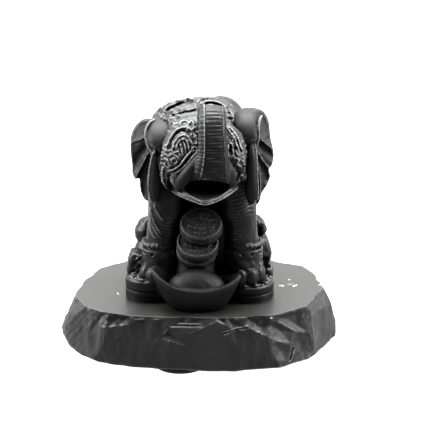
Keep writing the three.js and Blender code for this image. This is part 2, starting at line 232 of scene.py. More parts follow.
def egg(centre, radii, power=2.0, turn=(0, 0, 0), taper=0.0):
    """A superellipsoid; taper makes it wider above its middle and narrower below."""
    reach = max(radii) if any(turn) else None
    size = [reach or r for r in radii]

    def distance(x, y, z):
        a, b, c = turned_about(centre, turn, x, y, z)
        if taper:
            grow = 1 + taper * np.clip(c / radii[2], -1, 1)
            a = a / grow
        ua, ub, uc = np.abs(a) / radii[0], np.abs(b) / radii[1], np.abs(c) / radii[2]
        f = (ua**power + ub**power + uc**power + 1e-9) ** (1 / power)
        q = power - 1
        slope = np.sqrt(
            (ua**q / radii[0]) ** 2 + (ub**q / radii[1]) ** 2 + (uc**q / radii[2]) ** 2
        ) / np.maximum(f**q, 1e-6)
        return (f - 1) / np.maximum(slope, 0.4 / max(radii))

    low = [centre[i] - size[i] for i in range(3)]
    high = [centre[i] + size[i] for i in range(3)]
    return Form(low, high, distance)


def spline(stops, count):
    """A smooth line through stops, spaced by their distance in the first three columns."""
    p = np.array(stops, float)
    gap = np.maximum(np.linalg.norm(np.diff(p[:, :3], axis=0), axis=1), 1e-6) ** 0.5
    t = np.concatenate([[0], np.cumsum(gap)])
    slope = np.zeros_like(p)
    slope[1:-1] = (
        (p[1:-1] - p[:-2]) / gap[:-1, None] * gap[1:, None]
        + (p[2:] - p[1:-1]) / gap[1:, None] * gap[:-1, None]
    ) / (gap[:-1] + gap[1:])[:, None]
    slope[0] = (p[1] - p[0]) / gap[0]
    slope[-1] = (p[-1] - p[-2]) / gap[-1]
    u = np.linspace(0, t[-1], count)
    i = np.clip(np.searchsorted(t, u, side="right") - 1, 0, len(p) - 2)
    h = gap[i][:, None]
    s = ((u - t[i]) / gap[i])[:, None]
    return (
        (2 * s**3 - 3 * s**2 + 1) * p[i]
        + (s**3 - 2 * s**2 + s) * h * slope[i]
        + (-2 * s**3 + 3 * s**2) * p[i + 1]
        + (s**3 - s**2) * h * slope[i + 1]
    )


def limb(stops, power=2.0, relief=None, count=48):
    """A limb along a smooth line: stops are x, y, z, half width and half depth.

    Relief gets the place along it in millimetres, the offsets across and forward as shares of the half sizes,
    and x, y, z.
    """
    line = spline(stops, count)
    c = line[:, :3]
    along = np.gradient(c, axis=0)
    along /= np.linalg.norm(along, axis=1)[:, None]
    across = np.eye(3)[0] - along * along[:, :1]
    across /= np.linalg.norm(across, axis=1)[:, None]
    forward = np.cross(along, across)
    run = np.concatenate([[0], np.cumsum(np.linalg.norm(np.diff(c, axis=0), axis=1))])
    reach = line[:, 3:5].max(axis=1)
    low = (c - reach[:, None]).min(axis=0)
    high = (c + reach[:, None]).max(axis=0)

    def distance(x, y, z):
        x, y, z = np.broadcast_arrays(x, y, z)
        best = np.full(x.shape, 1e9, F)
        where = np.zeros(x.shape, F)
        for i in range(count - 1):
            a = c[i]
            ab = c[i + 1] - a
            n2 = float(ab @ ab)
            t = ((x - F(a[0])) * F(ab[0]) + (y - F(a[1])) * F(ab[1]) + (z - F(a[2])) * F(ab[2])) / F(n2)
            t = np.clip(t, 0, 1)
            d2 = (
                (x - F(a[0]) - t * F(ab[0])) ** 2
                + (y - F(a[1]) - t * F(ab[1])) ** 2
                + (z - F(a[2]) - t * F(ab[2])) ** 2
            )
            near = d2 < best
            best[near] = d2[near]
            where[near] = (i + t)[near]
        i = np.clip(where.astype(np.int32), 0, count - 2)
        t = where - i

        def between(values):
            values = values.astype(F)
            return values[i] * (1 - t) + values[i + 1] * t

        vx, vy, vz = (p - between(c[:, n]) for n, p in enumerate((x, y, z)))
        a = sum(v * between(across[:, n]) for n, v in enumerate((vx, vy, vz)))
        b = sum(v * between(forward[:, n]) for n, v in enumerate((vx, vy, vz)))
        e = sum(v * between(along[:, n]) for n, v in enumerate((vx, vy, vz)))
        w, h = between(line[:, 3]), between(line[:, 4])
        ua, ub = np.abs(a) / w, np.abs(b) / h
        ring = (ua**power + ub**power + 1e-9) ** (1 / power)
        end = np.abs(e) / (0.8 * np.minimum(w, h))
        f = np.sqrt(ring**2 + end**2)
        q = power - 1
        slope = np.sqrt((ua**q / w) ** 2 + (ub**q / h) ** 2) / np.maximum(ring**q, 1e-6)
        d = (f - 1) / np.maximum(slope, 0.5 / np.maximum(w, h))
        if relief is not None:
            d = d - relief(between(run), a / w, b / h, x, y, z)
        return d

    return Form(low, high, distance)


def coin(centre, radius, thickness, lean, face):
    """A coin that leans back by lean degrees, with the relief that the face function gives."""
    reach = radius + 1

    def distance(x, y, z):
        a, b, c = turned_about(centre, (lean, 0, 0), x, y, z)
        r = np.sqrt(a * a + b * b)
        up = smooth(-0.2, 0.4, c)
        milling = 0.07 * np.cos(np.arctan2(b, a) * 60) * (1 - up)
        return soft_max(r - radius - milling, np.abs(c) - thickness / 2, 0.5) - up * face(a, b, r)

    return Form([c - reach for c in centre], [c + reach for c in centre], distance)


def disc(x0, y0, radius, height):
    """Two thick coins under a foot, with a groove between them and a faint line around each."""

    def distance(x, y, z):
        r = np.sqrt((x - x0) ** 2 + (y - y0) ** 2)
        half = height / 2
        joint = 0.3 * bell(z - half, 0.28)
        line = 0.06 * bell(np.abs(z - half) - half * 0.5, 0.18)
        return soft_max(soft_max(r - radius + joint + line, z - height, 0.7), -z, 0.2)

    return Form([x0 - radius, y0 - radius, 0], [x0 + radius, y0 + radius, height], distance)


# Relief drawn on a flat map.

def line_gap(u, v, points):
    """The distance on a map to a line through points, and the place along it."""
    line = spline([(a, b, 0) for a, b in points], max(8, 6 * len(points)))[:, :2]
    gap = np.full(np.broadcast(u, v).shape, 1e9, F)
    place = np.zeros_like(gap)
    run = 0.0
    for (a0, b0), (a1, b1) in zip(line[:-1], line[1:]):
        du, dv = a1 - a0, b1 - b0
        n2 = du * du + dv * dv + 1e-12
        t = np.clip(((u - a0) * du + (v - b0) * dv) / n2, 0, 1)
        d = np.hypot(u - a0 - t * du, v - b0 - t * dv)
        near = d < gap
        gap = np.where(near, d, gap)
        place = np.where(near, run + t * math.sqrt(n2), place)
        run += math.sqrt(n2)
    return gap, place, run


def ridge(u, v, points, width, height):
    """A rounded line that thins out towards its ends."""
    gap, place, run = line_gap(u, v, points)
    ends = smooth(0, width * 2, place) * smooth(0, width * 2, run - place)
    return height * bell(gap, width) * (0.3 + 0.7 * ends)


def beads(u, v, points, pitch, height):
    """A row of round beads along a line."""
    gap, place, _ = line_gap(u, v, points)
    phase = (place / pitch) % 1 - 0.5
    r2 = (gap / (pitch * 0.5)) ** 2 + (phase * 2) ** 2
    return height * np.sqrt(np.clip(1 - r2, 0, 1))


def drawn(x, y, z):
    """Where the line from the viewer's eye to a point meets the plane on which the carving is drawn."""
    eye_x, eye_y, eye_z = EYE[0], EYE[1], EYE[2] - SLAB_TOP
    near = (DRAWN_Y - eye_y) / (y - eye_y)
    return eye_x + (x - eye_x) * near, eye_z + (z - eye_z) * near


class Chart:
    """Relief drawn on an upright plane and carried back along the lines of sight."""

    def __init__(self, low, high):
        self.step = 0.12
        self.low = low
        self.u, self.v = (np.arange(low[i], high[i], self.step, dtype=F) for i in (0, 1))
        self.height = np.zeros((self.u.size, self.v.size), F)

    def near(self, points, margin):
        p = np.array(points, float)
        cut = []
        for i, line in enumerate((self.u, self.v)):
            a, b = np.searchsorted(line, (p[:, i].min() - margin, p[:, i].max() + margin))
            cut.append(slice(a, max(a + 1, b)))
        return tuple(cut), self.u[cut[0]][:, None], self.v[cut[1]][None, :]

    def ridges(self, strokes, sign=1):
        for points, width, height in strokes:
            cut, u, v = self.near(points, 3 * width)
            self.height[cut] += sign * ridge(u, v, points, width, height)

    def grooves(self, strokes):
        self.ridges(strokes, -1)

    def plates(self, strokes):
        """Flat-topped strokes, of half the given width each way."""
        for points, width, height in strokes:
            cut, u, v = self.near(points, 2 * width + 1)
            gap, _, _ = line_gap(u, v, points)
            self.height[cut] += height * (1 - smooth(width, width + 0.3, gap))

    def beads(self, strokes):
        for points, pitch, height in strokes:
            cut, u, v = self.near(points, pitch)
            self.height[cut] += beads(u, v, points, pitch, height)

    def at(self, x, y, z):
        out = np.zeros((x.size, y.size, z.size), F)
        h = self.height
        for j, back in enumerate(y.ravel()):
            u, v = drawn(x.ravel(), back, z.ravel())
            a = np.clip((u - self.low[0]) / self.step, 0, h.shape[0] - 1.01)
            b = np.clip((v - self.low[1]) / self.step, 0, h.shape[1] - 1.01)
            i, k = a.astype(int), b.astype(int)
            s, t = (a - i)[:, None], (b - k)[None, :]
            here, over = (row[:, k] * (1 - t) + row[:, k + 1] * t for row in (h[i], h[i + 1]))
            out[:, j] = (1 - s) * here + s * over
        return out


# Materials.

def new_node(tree, kind, inputs):
    """A node with each of its inputs set to a value or linked to another node's output."""
    node = tree.nodes.new("ShaderNode" + kind)
    for name, value in inputs.items():
        if isinstance(value, bpy.types.NodeSocket):
            tree.links.new(value, node.inputs[name])
        else:
            node.inputs[name].default_value = value
    return node


def value_noise(tree, coords, scale, detail):
    inputs = {"Vector": coords, "Scale": scale, "Detail": detail, "Roughness": 0.55}
    return new_node(tree, "TexNoise", inputs).outputs["Fac"]


def ramp(tree, source, stops):
    """Colours or grey values at places from 0 to 1 of a source."""
    node = new_node(tree, "ValToRGB", {"Fac": source})
    while len(node.color_ramp.elements) > 1:
        node.color_ramp.elements.remove(node.color_ramp.elements[-1])
    for n, (place, colour) in enumerate(stops):
        e = node.color_ramp.elements[0] if n == 0 else node.color_ramp.elements.new(place)
        e.position = place
        e.color = (*colour, 1) if isinstance(colour, tuple) else (colour, colour, colour, 1)
    return node.outputs["Color"]


def mixed(tree, kind, factor, a, b):
    """Two colours mixed; each value is a number, a colour or another node's output."""
    node = new_node(tree, "MixRGB", {})
    node.blend_type = kind
    for socket, value in zip(node.inputs, (factor, a, b)):
        if isinstance(value, (int, float)):
            socket.default_value = value if socket.name == "Fac" else (value, value, value, 1)
        elif isinstance(value, tuple):
            socket.default_value = (*value, 1)
        else:
            tree.links.new(value, socket)
    return node.outputs["Color"]


def new_material(name, roughness, specular):
    material = bpy.data.materials.new(name)
    material.use_nodes = True
    tree = material.node_tree
    shader = tree.nodes["Principled BSDF"]
    shader.inputs["Specular IOR Level"].default_value = specular
    shader.inputs["Roughness"].default_value = roughness
    coords = new_node(tree, "TexCoord", {}).outputs["Object"]
    return material, tree, shader, coords


def grained(tree, shader, grain, strength, depth):
    """Fine bumps from a grain, of a depth in millimetres."""
    bump = new_node(tree, "Bump", {"Strength": strength, "Distance": depth * MM, "Height": grain})
    tree.links.new(bump.outputs["Normal"], shader.inputs["Normal"])


# How much an edge is lightened: partly real rubbing, partly painted highlight.
def wear_and_glint_of(tree):
    node = new_node(tree, "Attribute", {})
    node.attribute_name = "wear_and_glint"
    return node.outputs["Fac"]


def pressed_shungite(name, dark, worn, gloss=(0.38, 0.48), shine=0.19):
    """Pressed black stone: fine grain, greyer on outward edges, partly from rubbing and partly as a painted
    highlight, and in faint cloudy patches.
    """
    material, tree, shader, coords = new_material(name, 0.42, shine)
    grain = value_noise(tree, coords, 3200, 3)
    patch = value_noise(tree, coords, 160, 5)
    # Edges that bend outwards turn towards the worn colour: partly real rubbing, partly painted highlight on
    # crests.
    rubbed_and_glint = ramp(tree, wear_and_glint_of(tree), [(0.02, 0.0), (0.2, 0.25), (0.8, 1.0)])
    dusty = tuple(c * 1.35 for c in dark)
    base = ramp(tree, patch, [(0.3, dark), (0.7, dusty)])
    colour = mixed(tree, "MIX", rubbed_and_glint, base, worn)
    speckle = ramp(tree, grain, [(0.35, 0.82), (0.65, 1.15)])
    tree.links.new(mixed(tree, "MULTIPLY", 1.0, colour, speckle), shader.inputs["Base Color"])
    rough = ramp(tree, patch, [(0.3, gloss[0]), (0.7, gloss[1])])
    tree.links.new(rough, shader.inputs["Roughness"])
    grained(tree, shader, grain, 0.25, 0.06)
    return material


# The body and the legs; the carved face; the ears and the trunk; the coins and the ingot.
FIGURE = pressed_shungite("pressed_shungite", (0.0046, 0.0046, 0.0049), (0.05, 0.05, 0.051))
# The face is the same stone with a lighter base and lighter edges: painted light on the carved relief.
CARVED_LIT = pressed_shungite("carved_lit_shungite", (0.014, 0.014, 0.0143), (0.085, 0.085, 0.086))
MATT = pressed_shungite("matt_shungite", (0.0062, 0.0062, 0.0065), (0.1, 0.1, 0.101), (0.52, 0.6), 0.15)
# The coins and the ingot are the same stone with darker edges: painted shade from the head above them;
# rougher too.
DULL_SHADED = pressed_shungite("dull_shaded_shungite", (0.005, 0.005, 0.0052), (0.028, 0.028, 0.0285), (0.5, 0.6), 0.14)


# The head and trunk.

FACE_RIDGES = [
    ([(-11.1, 55.9), (-10.6, 58.7), (-9.7, 60.8), (-7.9, 63.5), (-5.4, 64.9), (-2.7, 64.2), (-0.6, 61.6),
      (0, 59.1)], 0.42, 0.65),
    ([(-8.7, 56.9), (-8.2, 59.4), (-6.6, 61.5), (-4.7, 62.2), (-2.9, 61.2), (-1.9, 58.7)], 0.36, 0.55),
    ([(-7.5, 57.3), (-6.8, 59.4), (-5.4, 60.7), (-3.9, 60.3), (-2.9, 58.4)], 0.3, 0.5),
    ([(-5.9, 57.6), (-5.5, 56.2), (-5, 54.6)], 0.2, 0.5),
    ([(-9.3, 52.3), (-8.9, 53.5), (-7.9, 53.9), (-7.2, 53), (-7.7, 52.1), (-8.4, 52.4)], 0.34, 0.65),
    ([(-11.3, 56.9), (-10.3, 56.4), (-9.2, 56.9), (-8.2, 56), (-6.8, 56.2), (-5.8, 54.8)], 0.3, 0.5),
    ([(-12.1, 55.2), (-10.9, 55.4), (-9.8, 54.8), (-8.9, 55.4), (-7.5, 54.7), (-6.2, 53.4)], 0.3, 0.5),
    ([(-12.3, 53.4), (-11.3, 53.7), (-10.3, 53), (-10, 51.6), (-8.9, 50.9)], 0.3, 0.5),
    ([(-12.5, 51.6), (-11.5, 51.9), (-10.8, 50.9), (-9.6, 50.2)], 0.3, 0.45),
    ([(-2.4, 56.4), (-4.4, 53.9), (-6.3, 51.4), (-8.2, 50), (-10.3, 49.3)], 0.34, 0.8),
    ([(-1.2, 55.2), (-3.4, 52.4), (-5.5, 50.2), (-7.6, 48.7)], 0.34, 0.8),
    ([(-2, 57.8), (-0.5, 57.8), (-0.1, 56.6), (-1.3, 54.8)], 0.3, 0.6),
    ([(-3.9, 63.7), (-3, 65.1), (-2, 64), (-1, 65.1), (-0.1, 64)], 0.3, 0.55),
    ([(-2.5, 62.6), (-1.7, 61.2), (-0.5, 61.9), (-0.3, 60.1)], 0.3, 0.55),
    ([(-2, 59.9), (-1.2, 59.1), (-0.2, 59.4)], 0.3, 0.5),
    ([(-5.7, 65.2), (-5.9, 66.7), (-4.7, 67.4), (-3.3, 66.8), (-3.6, 65.4), (-4.7, 65.3)], 0.36, 0.6),
    ([(-3, 66.1), (-2.2, 67.3), (-1.3, 66.5), (-1.6, 65.1)], 0.36, 0.55),
    ([(-8.8, 67.2), (-7.8, 66.1), (-6.7, 67)], 0.34, 0.45),
    ([(10, 64.9), (12.4, 61.5), (14.3, 55.9)], 0.32, 0.65),
    ([(10.8, 65.4), (13.4, 61.7), (15.3, 56.6)], 0.32, 0.55),
    ([(10.5, 59.2), (10.2, 56.6), (10.8, 54.2), (11.8, 54.6), (12, 56.9), (11.5, 59.2),
      (10.5, 59.2)], 0.34, 0.6),
    ([(12.7, 59.1), (13.7, 57.6), (13.1, 56.2), (14.1, 54.8)], 0.32, 0.55),
    ([(12.4, 54.1), (14.1, 53.4), (13.4, 51.9), (14.8, 50.9)], 0.32, 0.55),
    ([(14, 45.8), (14, 47.4), (15.2, 47.9), (15.8, 46.7), (15.2, 45.8)], 0.34, 0.65),
    ([(11, 61.7), (12, 60.8), (11.7, 59.6)], 0.3, 0.45),
    ([(14.5, 44.8), (13.8, 43.3), (12.3, 42.2)], 0.6, 0.5),
]
FACE_GROOVES = [
    ([(-9.9, 56.9), (-9, 60.1), (-7.3, 62.6), (-5.1, 63.7), (-2.7, 62.6), (-1.2, 60.1)], 0.26, 0.65),
    ([(-5.7, 60.8), (-4.9, 58), (-4.6, 55.2)], 0.26, 0.95),
    ([(-4.5, 60.5), (-3.7, 58), (-3.5, 55.5)], 0.26, 0.95),
    ([(-6.7, 59.1), (-6.1, 56.9), (-5.8, 55.2)], 0.26, 0.8),
    ([(-2.6, 59.4), (-2.6, 57.3), (-3.6, 55.5)], 0.3, 0.6),
    ([(-1.9, 55.7), (-4.1, 53), (-6.2, 50.6), (-8.3, 49.3)], 0.26, 0.85),
    ([(-3.4, 56.6), (-5.1, 54.1), (-7, 51.9), (-9.3, 50.4)], 0.26, 0.7),
    ([(-0.7, 53), (-3.4, 50.5), (-6.2, 48.2)], 0.6, 1.2),
    ([(-9.6, 49.1), (-10, 46.2), (-8.8, 43)], 0.55, 1.2), ([(-10.8, 66.5), (-9.2, 63.7)], 0.4, 0.7),
    ([(10.3, 64.7), (12.7, 61.2), (14.8, 56.2)], 0.22, 0.7),
    ([(11.1, 58.2), (11.1, 56.8), (11.3, 55.3)], 0.42, 1.1),
    ([(13.1, 50.5), (13.9, 48), (13.2, 45.5)], 0.6, 1.1), ([(-8.2, 52.9), (-7.9, 52.8)], 0.4, 0.7),
]
FACE_BEADS = [
    ([(-12, 51.2), (-12.5, 48), (-12.1, 45.1), (-10.5, 42.6)], 1, 0.4),
    ([(15.5, 53.4), (16.2, 50.5), (16.1, 48.4)], 1.2, 0.6),
    ([(11.7, 63), (13, 60.1), (13.7, 58)], 1.1, 0.45),
    ([(-10.9, 59.1), (-11.8, 56.6), (-12.7, 54.1), (-12.8, 51.6)], 1.3, 0.55),
    ([(10.3, 53.9), (11.2, 51.6), (12.7, 49.8)], 1.1, 0.4),
]
JOWL = [([(-12, 51.2), (-12.5, 47.9), (-12, 45), (-10.3, 42.3)], 0.95, 0.7)]
JAW_RIDGES = [
    ([(-11.4, 43.7), (-7.6, 41.1), (-2.8, 38.8), (2, 37.2), (6.6, 38.4), (10.7, 40.8),
      (14.5, 43.5)], 0.3, 0.4),
    ([(-5.5, 42.4), (-0.7, 39.3), (2.4, 37.9), (5.9, 39.1), (10.7, 42.4)], 0.25, 0.4),
]
JAW_GROOVES = [([(-7.3, 42.6), (-2.8, 39.8), (2, 37.6), (6.9, 39.2), (12.4, 43)], 0.24, 0.5)]


def mouth():
    """The hollow between the trunk's root and the lower jaw."""
    sizes = [(-9, 43.6, 5.5, 2), (-16, 43.6, 7.8, 3), (-22, 43.7, 7.2, 3.2), (-28, 43.8, 6.4, 3.2)]
    return limb([(3, *size) for size in sizes], count=20)


def build_head():
    """The skull with its brow, cheeks and lower jaw, and the carving all over the face."""
    f = Field([-16.5, -28, 34], [19.5, 2, 71], 0.26)
    yaw = (0, 0, 8)
    f.add(egg((1.5, -7.8, 53.6), (13.9, 10.4, 13), 2.3, (-33, 0, 8)))
    f.add(egg((1.9, -10.5, 47.6), (15.2, 8.8, 8), 2.3, yaw), 2.5)
    f.add(egg((-5.6, -12.9, 56), (6.8, 4.8, 8.4), 2.2, (-40, 12, 0)), 1.6)
    f.add(egg((11.4, -12.2, 55.8), (5.2, 4.6, 8.4), 2.2, (-38, -12, 0)), 1.6)
    jaw = [
        (1.6, -5, 43.6, 13.5, 4), (2, -13, 42, 11.6, 3.6), (2.3, -19, 40.6, 7.6, 2.8),
        (2.4, -23, 39.8, 2, 1.5),
    ]
    f.add(limb(jaw, 2.2, count=24), 1.2)
    chart = Chart((-17, 34), (20, 74))
    chart.ridges(FACE_RIDGES + JOWL + JAW_RIDGES)
    chart.grooves(FACE_GROOVES + JAW_GROOVES)
    chart.beads(FACE_BEADS)
    u, v = chart.u[:, None], chart.v[None, :]
    carved = smooth(43, 46, v) * (1 - smooth(66, 69, v))
    chart.height += 0.13 * carved * murmur(u, v, 0, 2.1, 61) + 0.08 * carved * murmur(u, v, 0, 1.1, 62)
    f.raise_by(lambda x, y, z: chart.at(x, y, z) * smooth(0, -5, y), [-17, -28, 34], [20, 0, 72])
    f.cut(mouth(), 0.8)
    return f.mesh("head", "figurine_shungite", CARVED_LIT)


def build_trunk():
    """The raised trunk, flat in front, with its lips at the root and a lobe beside its curled end."""
    f = Field([-9.5, -26.5, 38], [14.5, -3, 73.5], 0.24)
    stops = [
        (3.6, -11, 46.5, 9, 5), (4.2, -17, 47.4, 8, 4.2), (4.9, -19.6, 50.4, 6, 4.2),
        (5.3, -19.6, 55.5, 5, 4.2), (5.2, -19, 61, 4.6, 4.2), (5.1, -17.6, 65.6, 4.5, 3.9),
        (5, -14.8, 67.9, 4.3, 3.6), (4.8, -12, 67.2, 4.4, 3.3), (4.5, -9.6, 63.8, 4.6, 3.2),
    ]
    f.add(limb(stops, 3.4, relief=trunk_relief, count=72), 0.35)
    f.add(limb([(0.4, -19, 54.6, 1.4, 1.6), (-1, -20.2, 52.2, 2, 2), (-3.6, -20.6, 48.9, 2.3, 2.3),
                (-5.9, -19.4, 44.9, 2.3, 2.2), (-6.3, -17.8, 42.9, 1.7, 1.6)], count=24), 0.7)
    f.add(limb([(9.6, -18.6, 53, 1.4, 1.4), (10.6, -18.9, 49.6, 2, 1.9), (11.2, -17.8, 46.2, 2.1, 1.9),
                (11.2, -16, 43.8, 1.7, 1.6)], count=20), 1.0)
    f.add(limb([(1.7, -9.8, 67, 0.9, 0.8), (0.8, -11.8, 69.9, 1.2, 0.9), (0.9, -15, 70, 1, 0.8),
                (1.3, -17.2, 67.4, 0.6, 0.6)], count=16), 0.4)
    f.cut(mouth(), 0.8)
    return f.mesh("trunk", "figurine_shungite", MATT)


def trunk_relief(run, a, b, x, y, z):
    """Cross grooves in front between a strip of beads and a raised border, and soft rings behind."""
    groove_pitch, bead_pitch, ring_pitch = 0.98, 1.2, 1.1
    front = smooth(-0.1, 0.4, -b)
    rings = np.cos(TAU * run / ring_pitch)
    lane = np.abs((run / groove_pitch) % 1 - 0.5) * groove_pitch
    field = (1 - smooth(0.66, 0.76, a)) * smooth(-0.56, -0.48, a) * smooth(3, 6, run)
    grooves = -0.22 * bell(lane, 0.2) * (0.75 + 0.25 * np.sin(run * 2.3 + 3 * a)) * field
    bead = (run / bead_pitch) % 1 * 2 - 1
    round_bead = np.sqrt(np.clip(1 - bead**2 - ((a + 0.82) / 0.3) ** 2, 0, 1))
    strip = smooth(-0.56, -0.64, a) * smooth(7, 11, run) * (0.5 + 0.22 * round_bead)
    border = 0.14 * smooth(0.74, 0.8, a) * (1 + 0.15 * rings)
    return front * (grooves + strip + border) + 0.07 * (1 - front) * rings


# The ears.

# Reach is the ear's outline: degrees from straight up about the hub, and millimetres. Crests are lines with a
# height, valleys are lines with a width and a depth.
EARS = {
    "ear_left": dict(
        side=-1, hub=(-16.4, -7, 54.2), box=([-27, -16, 31], [-7, 4, 69]),
        reach=[
            (-10, 8.9), (1, 9.1), (17, 9.4), (34, 9), (56, 8.4), (90, 7.6), (116, 8.3), (135, 10.1),
            (146, 12.6), (154, 13.1), (159, 12.9), (164, 16.1), (170, 19.5), (177, 20.3), (190, 20.4),
        ],
        crests=[
            ([(-17, 54.4), (-19.1, 49.7), (-21, 46), (-22.4, 42.6)], 1.5),
            ([(-16.3, 53.7), (-16.9, 48.6), (-17.2, 42.3), (-17.2, 33.5)], 1.9),
            ([(-17.6, 58.8), (-20.8, 57.1), (-24, 55.6)], 0.9),
        ],
        valleys=[
            ([(-18.6, 54), (-21.4, 50), (-23.4, 45)], 1.4, 1.6),
            ([(-17, 51.1), (-18.8, 44.5), (-19.6, 36)], 1.2, 1.7),
            ([(-15.2, 52.9), (-14.6, 47.8), (-15, 38)], 1.1, 0.8),
        ],
        hood=[
            (-13.4, 1, 59.9, 4.9, 3.4), (-13.6, -3.4, 58.8, 4.8, 3.7), (-13.8, -6.8, 56.8, 4.4, 3.6),
            (-14, -8.6, 54.9, 3.4, 2.9), (-14.5, -8.8, 53.8, 1.9, 1.8),
        ],
        edge=[
            (-15.5, -1.8, 63.2), (-17.1, -3.6, 62.6), (-18.2, -5.4, 61), (-18.4, -7.2, 58.4),
            (-17.5, -9, 55.6), (-16.2, -10, 53.4),
        ],
        leaf=[
            (-15.3, -10.8, 54.2, 0.4, 0.8), (-15.2, -12, 50, 1.3, 1.2), (-15.1, -13.4, 44.8, 2, 1.1),
            (-15.1, -14, 40.4, 1.8, 1.1), (-15.2, -13.6, 37, 0.8, 0.8),
        ],
        leaf_edge=[
            (-15.7, -11.6, 53.6), (-16.7, -12.8, 49), (-17.2, -13.8, 44), (-17, -14, 40),
            (-16.3, -13.6, 36.6),
        ],
    ),
    "ear_right": dict(
        side=1, hub=(18.4, -7, 54.8), box=([10, -16, 30], [30, 4, 72]),
        reach=[
            (-20, 11.6), (-1, 11.8), (9, 12.1), (18, 12), (25, 11.6), (36, 10.5), (53, 8.5), (75, 7.4),
            (102, 8.2), (123, 9.8), (136, 10.8), (144, 11.1), (148, 13.4), (157, 15.8), (167, 18.3),
            (171, 20.9), (174, 22.4), (192, 22.2),
        ],
        crests=[
            ([(19.8, 59.4), (22.7, 56.8), (25.8, 54)], 1.3),
            ([(19.6, 55), (21.3, 51.9), (23.1, 48.9), (25.2, 46.2)], 1.7),
            ([(19.4, 52.6), (21.2, 46.7), (21.8, 42.3), (21.7, 33)], 1.7),
        ],
        valleys=[
            ([(20.2, 56.6), (23.1, 53.7), (26.4, 50)], 1.2, 1.6),
            ([(20.3, 52.6), (22.6, 47.6), (24.5, 42)], 1.2, 1.6), ([(18.6, 43), (19, 34)], 2.2, 1.2),
        ],
        hood=[
            (17.2, 0.8, 63.2, 4.6, 3.7), (17.3, -3, 62.1, 4.6, 4), (17.5, -6.4, 59.8, 4.2, 3.9),
            (17.7, -8.4, 57.3, 3.5, 3.2), (17.9, -8.8, 55.5, 2.1, 2),
        ],
        edge=[
            (22.2, -4.6, 65.2), (21.5, -6.8, 64.4), (21.1, -8.8, 61.8), (21.1, -9.8, 58.8),
            (20.3, -10.4, 56),
        ],
        leaf=[
            (18.5, -10.4, 57.2, 0.6, 0.9), (18.5, -11.8, 53, 1.5, 1.3), (18.5, -12.6, 48, 1.7, 1.4),
            (18.6, -12.9, 43.5, 1.9, 1.4), (18.7, -12.7, 38.5, 1.9, 1.3), (18.6, -12.2, 35.8, 1.1, 0.9),
        ],
        leaf_edge=[
            (19.5, -10.4, 57.4), (20.2, -11.8, 53), (20.4, -12.6, 47.5), (20.7, -12.9, 42),
            (20.7, -12.8, 37.2),
        ],
    ),
}


def build_ear(name):
    """A pleated ear sheet with crisp crests, and the rolled flap that falls over its root."""
    e = EARS[name]
    side, (hx, hy, hz) = e["side"], e["hub"]
    f = Field(*e["box"], 0.29)
    u, v = np.broadcast_arrays(f.axes[0][:, None], f.axes[2][None, :])
    du, dv = side * (u - hx), v - hz
    degrees = np.degrees(np.arctan2(du, dv))
    degrees = np.where(degrees < -90, degrees + 360, degrees)
    table = spline([(d, r, 0) for d, r in e["reach"]], 240)
    rim = np.interp(degrees, table[:, 0], table[:, 1])
    r = np.hypot(du, dv)
    out = np.clip(r / rim, 0, 1.3)
    middle = hy + 3.4 * out**2 + 0.34 * np.clip(dv, 0, 14)
    for points, height in e["crests"]:
        gap, _, _ = line_gap(u, v, points)
        middle = middle - height * (0.55 * np.exp(-gap / 1.3) + 0.45 * bell(gap, 0.5))
    for points, width, depth in e["valleys"]:
        gap, _, _ = line_gap(u, v, points)
        middle = middle + depth * bell(gap, width)
    ripples = np.cos(np.radians(degrees) * 16 + 1.2 * np.sin(out * 5)) * smooth(0.3, 0.8, out)
    middle = middle + 0.1 * ripples
    middle = middle + 0.06 * murmur(u, v, 0, 3, 71)
    slope = np.hypot(*np.gradient(middle, f.step))
    thick = 1.5 + 0.6 * bell(out - 0.96, 0.06)
    behind_root = (np.abs(degrees - 90) - 103) * 0.25
    edge = np.maximum(r - rim, behind_root)
    lean = np.sqrt(1 + slope**2)
    y = f.axes[1][None, :, None]
    sheet = (np.abs(y - middle[:, None, :]) - thick[:, None, :] / 2) / lean[:, None, :]
    f.d = soft_max(sheet, edge[:, None, :], 0.6).astype(F)
    f.add(limb(e["hood"], 2.5, count=28), 0.8)
    f.add(limb(e["leaf"], count=24), 0.5)
    for line in (e["edge"], e["leaf_edge"]):
        f.add(limb([(*p, 0.48, 0.48) for p in line], count=24), 0.2)
    return f.mesh(name, "figurine_shungite", MATT)


# The body.

BACK_PLATES = [
    ([(-7.2, 70.1), (-1.3, 72.3)], 0.95, 0.5), ([(-9, 67.4), (-3.7, 68.9)], 1.1, 0.35),
    ([(-14.2, 68.2), (-11.8, 71.9)], 1.3, 0.5), ([(-3.7, 66.3), (-0.3, 68.1)], 0.9, 0.4),
]
BACK_RIDGES = [
    ([(-10.3, 72.1), (-7.7, 74), (-5, 75.4), (-2.6, 75.1), (-0.6, 74.4)], 0.8, 0.8),
    ([(-16.1, 68.1), (-14.7, 70), (-12.6, 73)], 0.5, 0.6),
    ([(-0.2, 74.1), (1.8, 75.1), (4.2, 75.4), (6.5, 74.8)], 0.35, 0.5),
    ([(0.4, 73), (2.8, 74.1), (5.5, 74.1), (8.2, 73.2), (9.9, 71.7)], 0.35, 0.5),
    ([(8.9, 72.8), (10.6, 71.6), (12, 69.6), (12.7, 67.2)], 0.4, 0.35),
    ([(-9.8, 64.7), (-7.1, 65.9), (-4, 67)], 0.3, 0.4), ([(9.8, 73), (10.2, 72.4)], 0.5, 0.5),
    ([(-11.5, 68.2), (-12.5, 66.1), (-11.4, 64.7)], 0.35, 0.4),
]
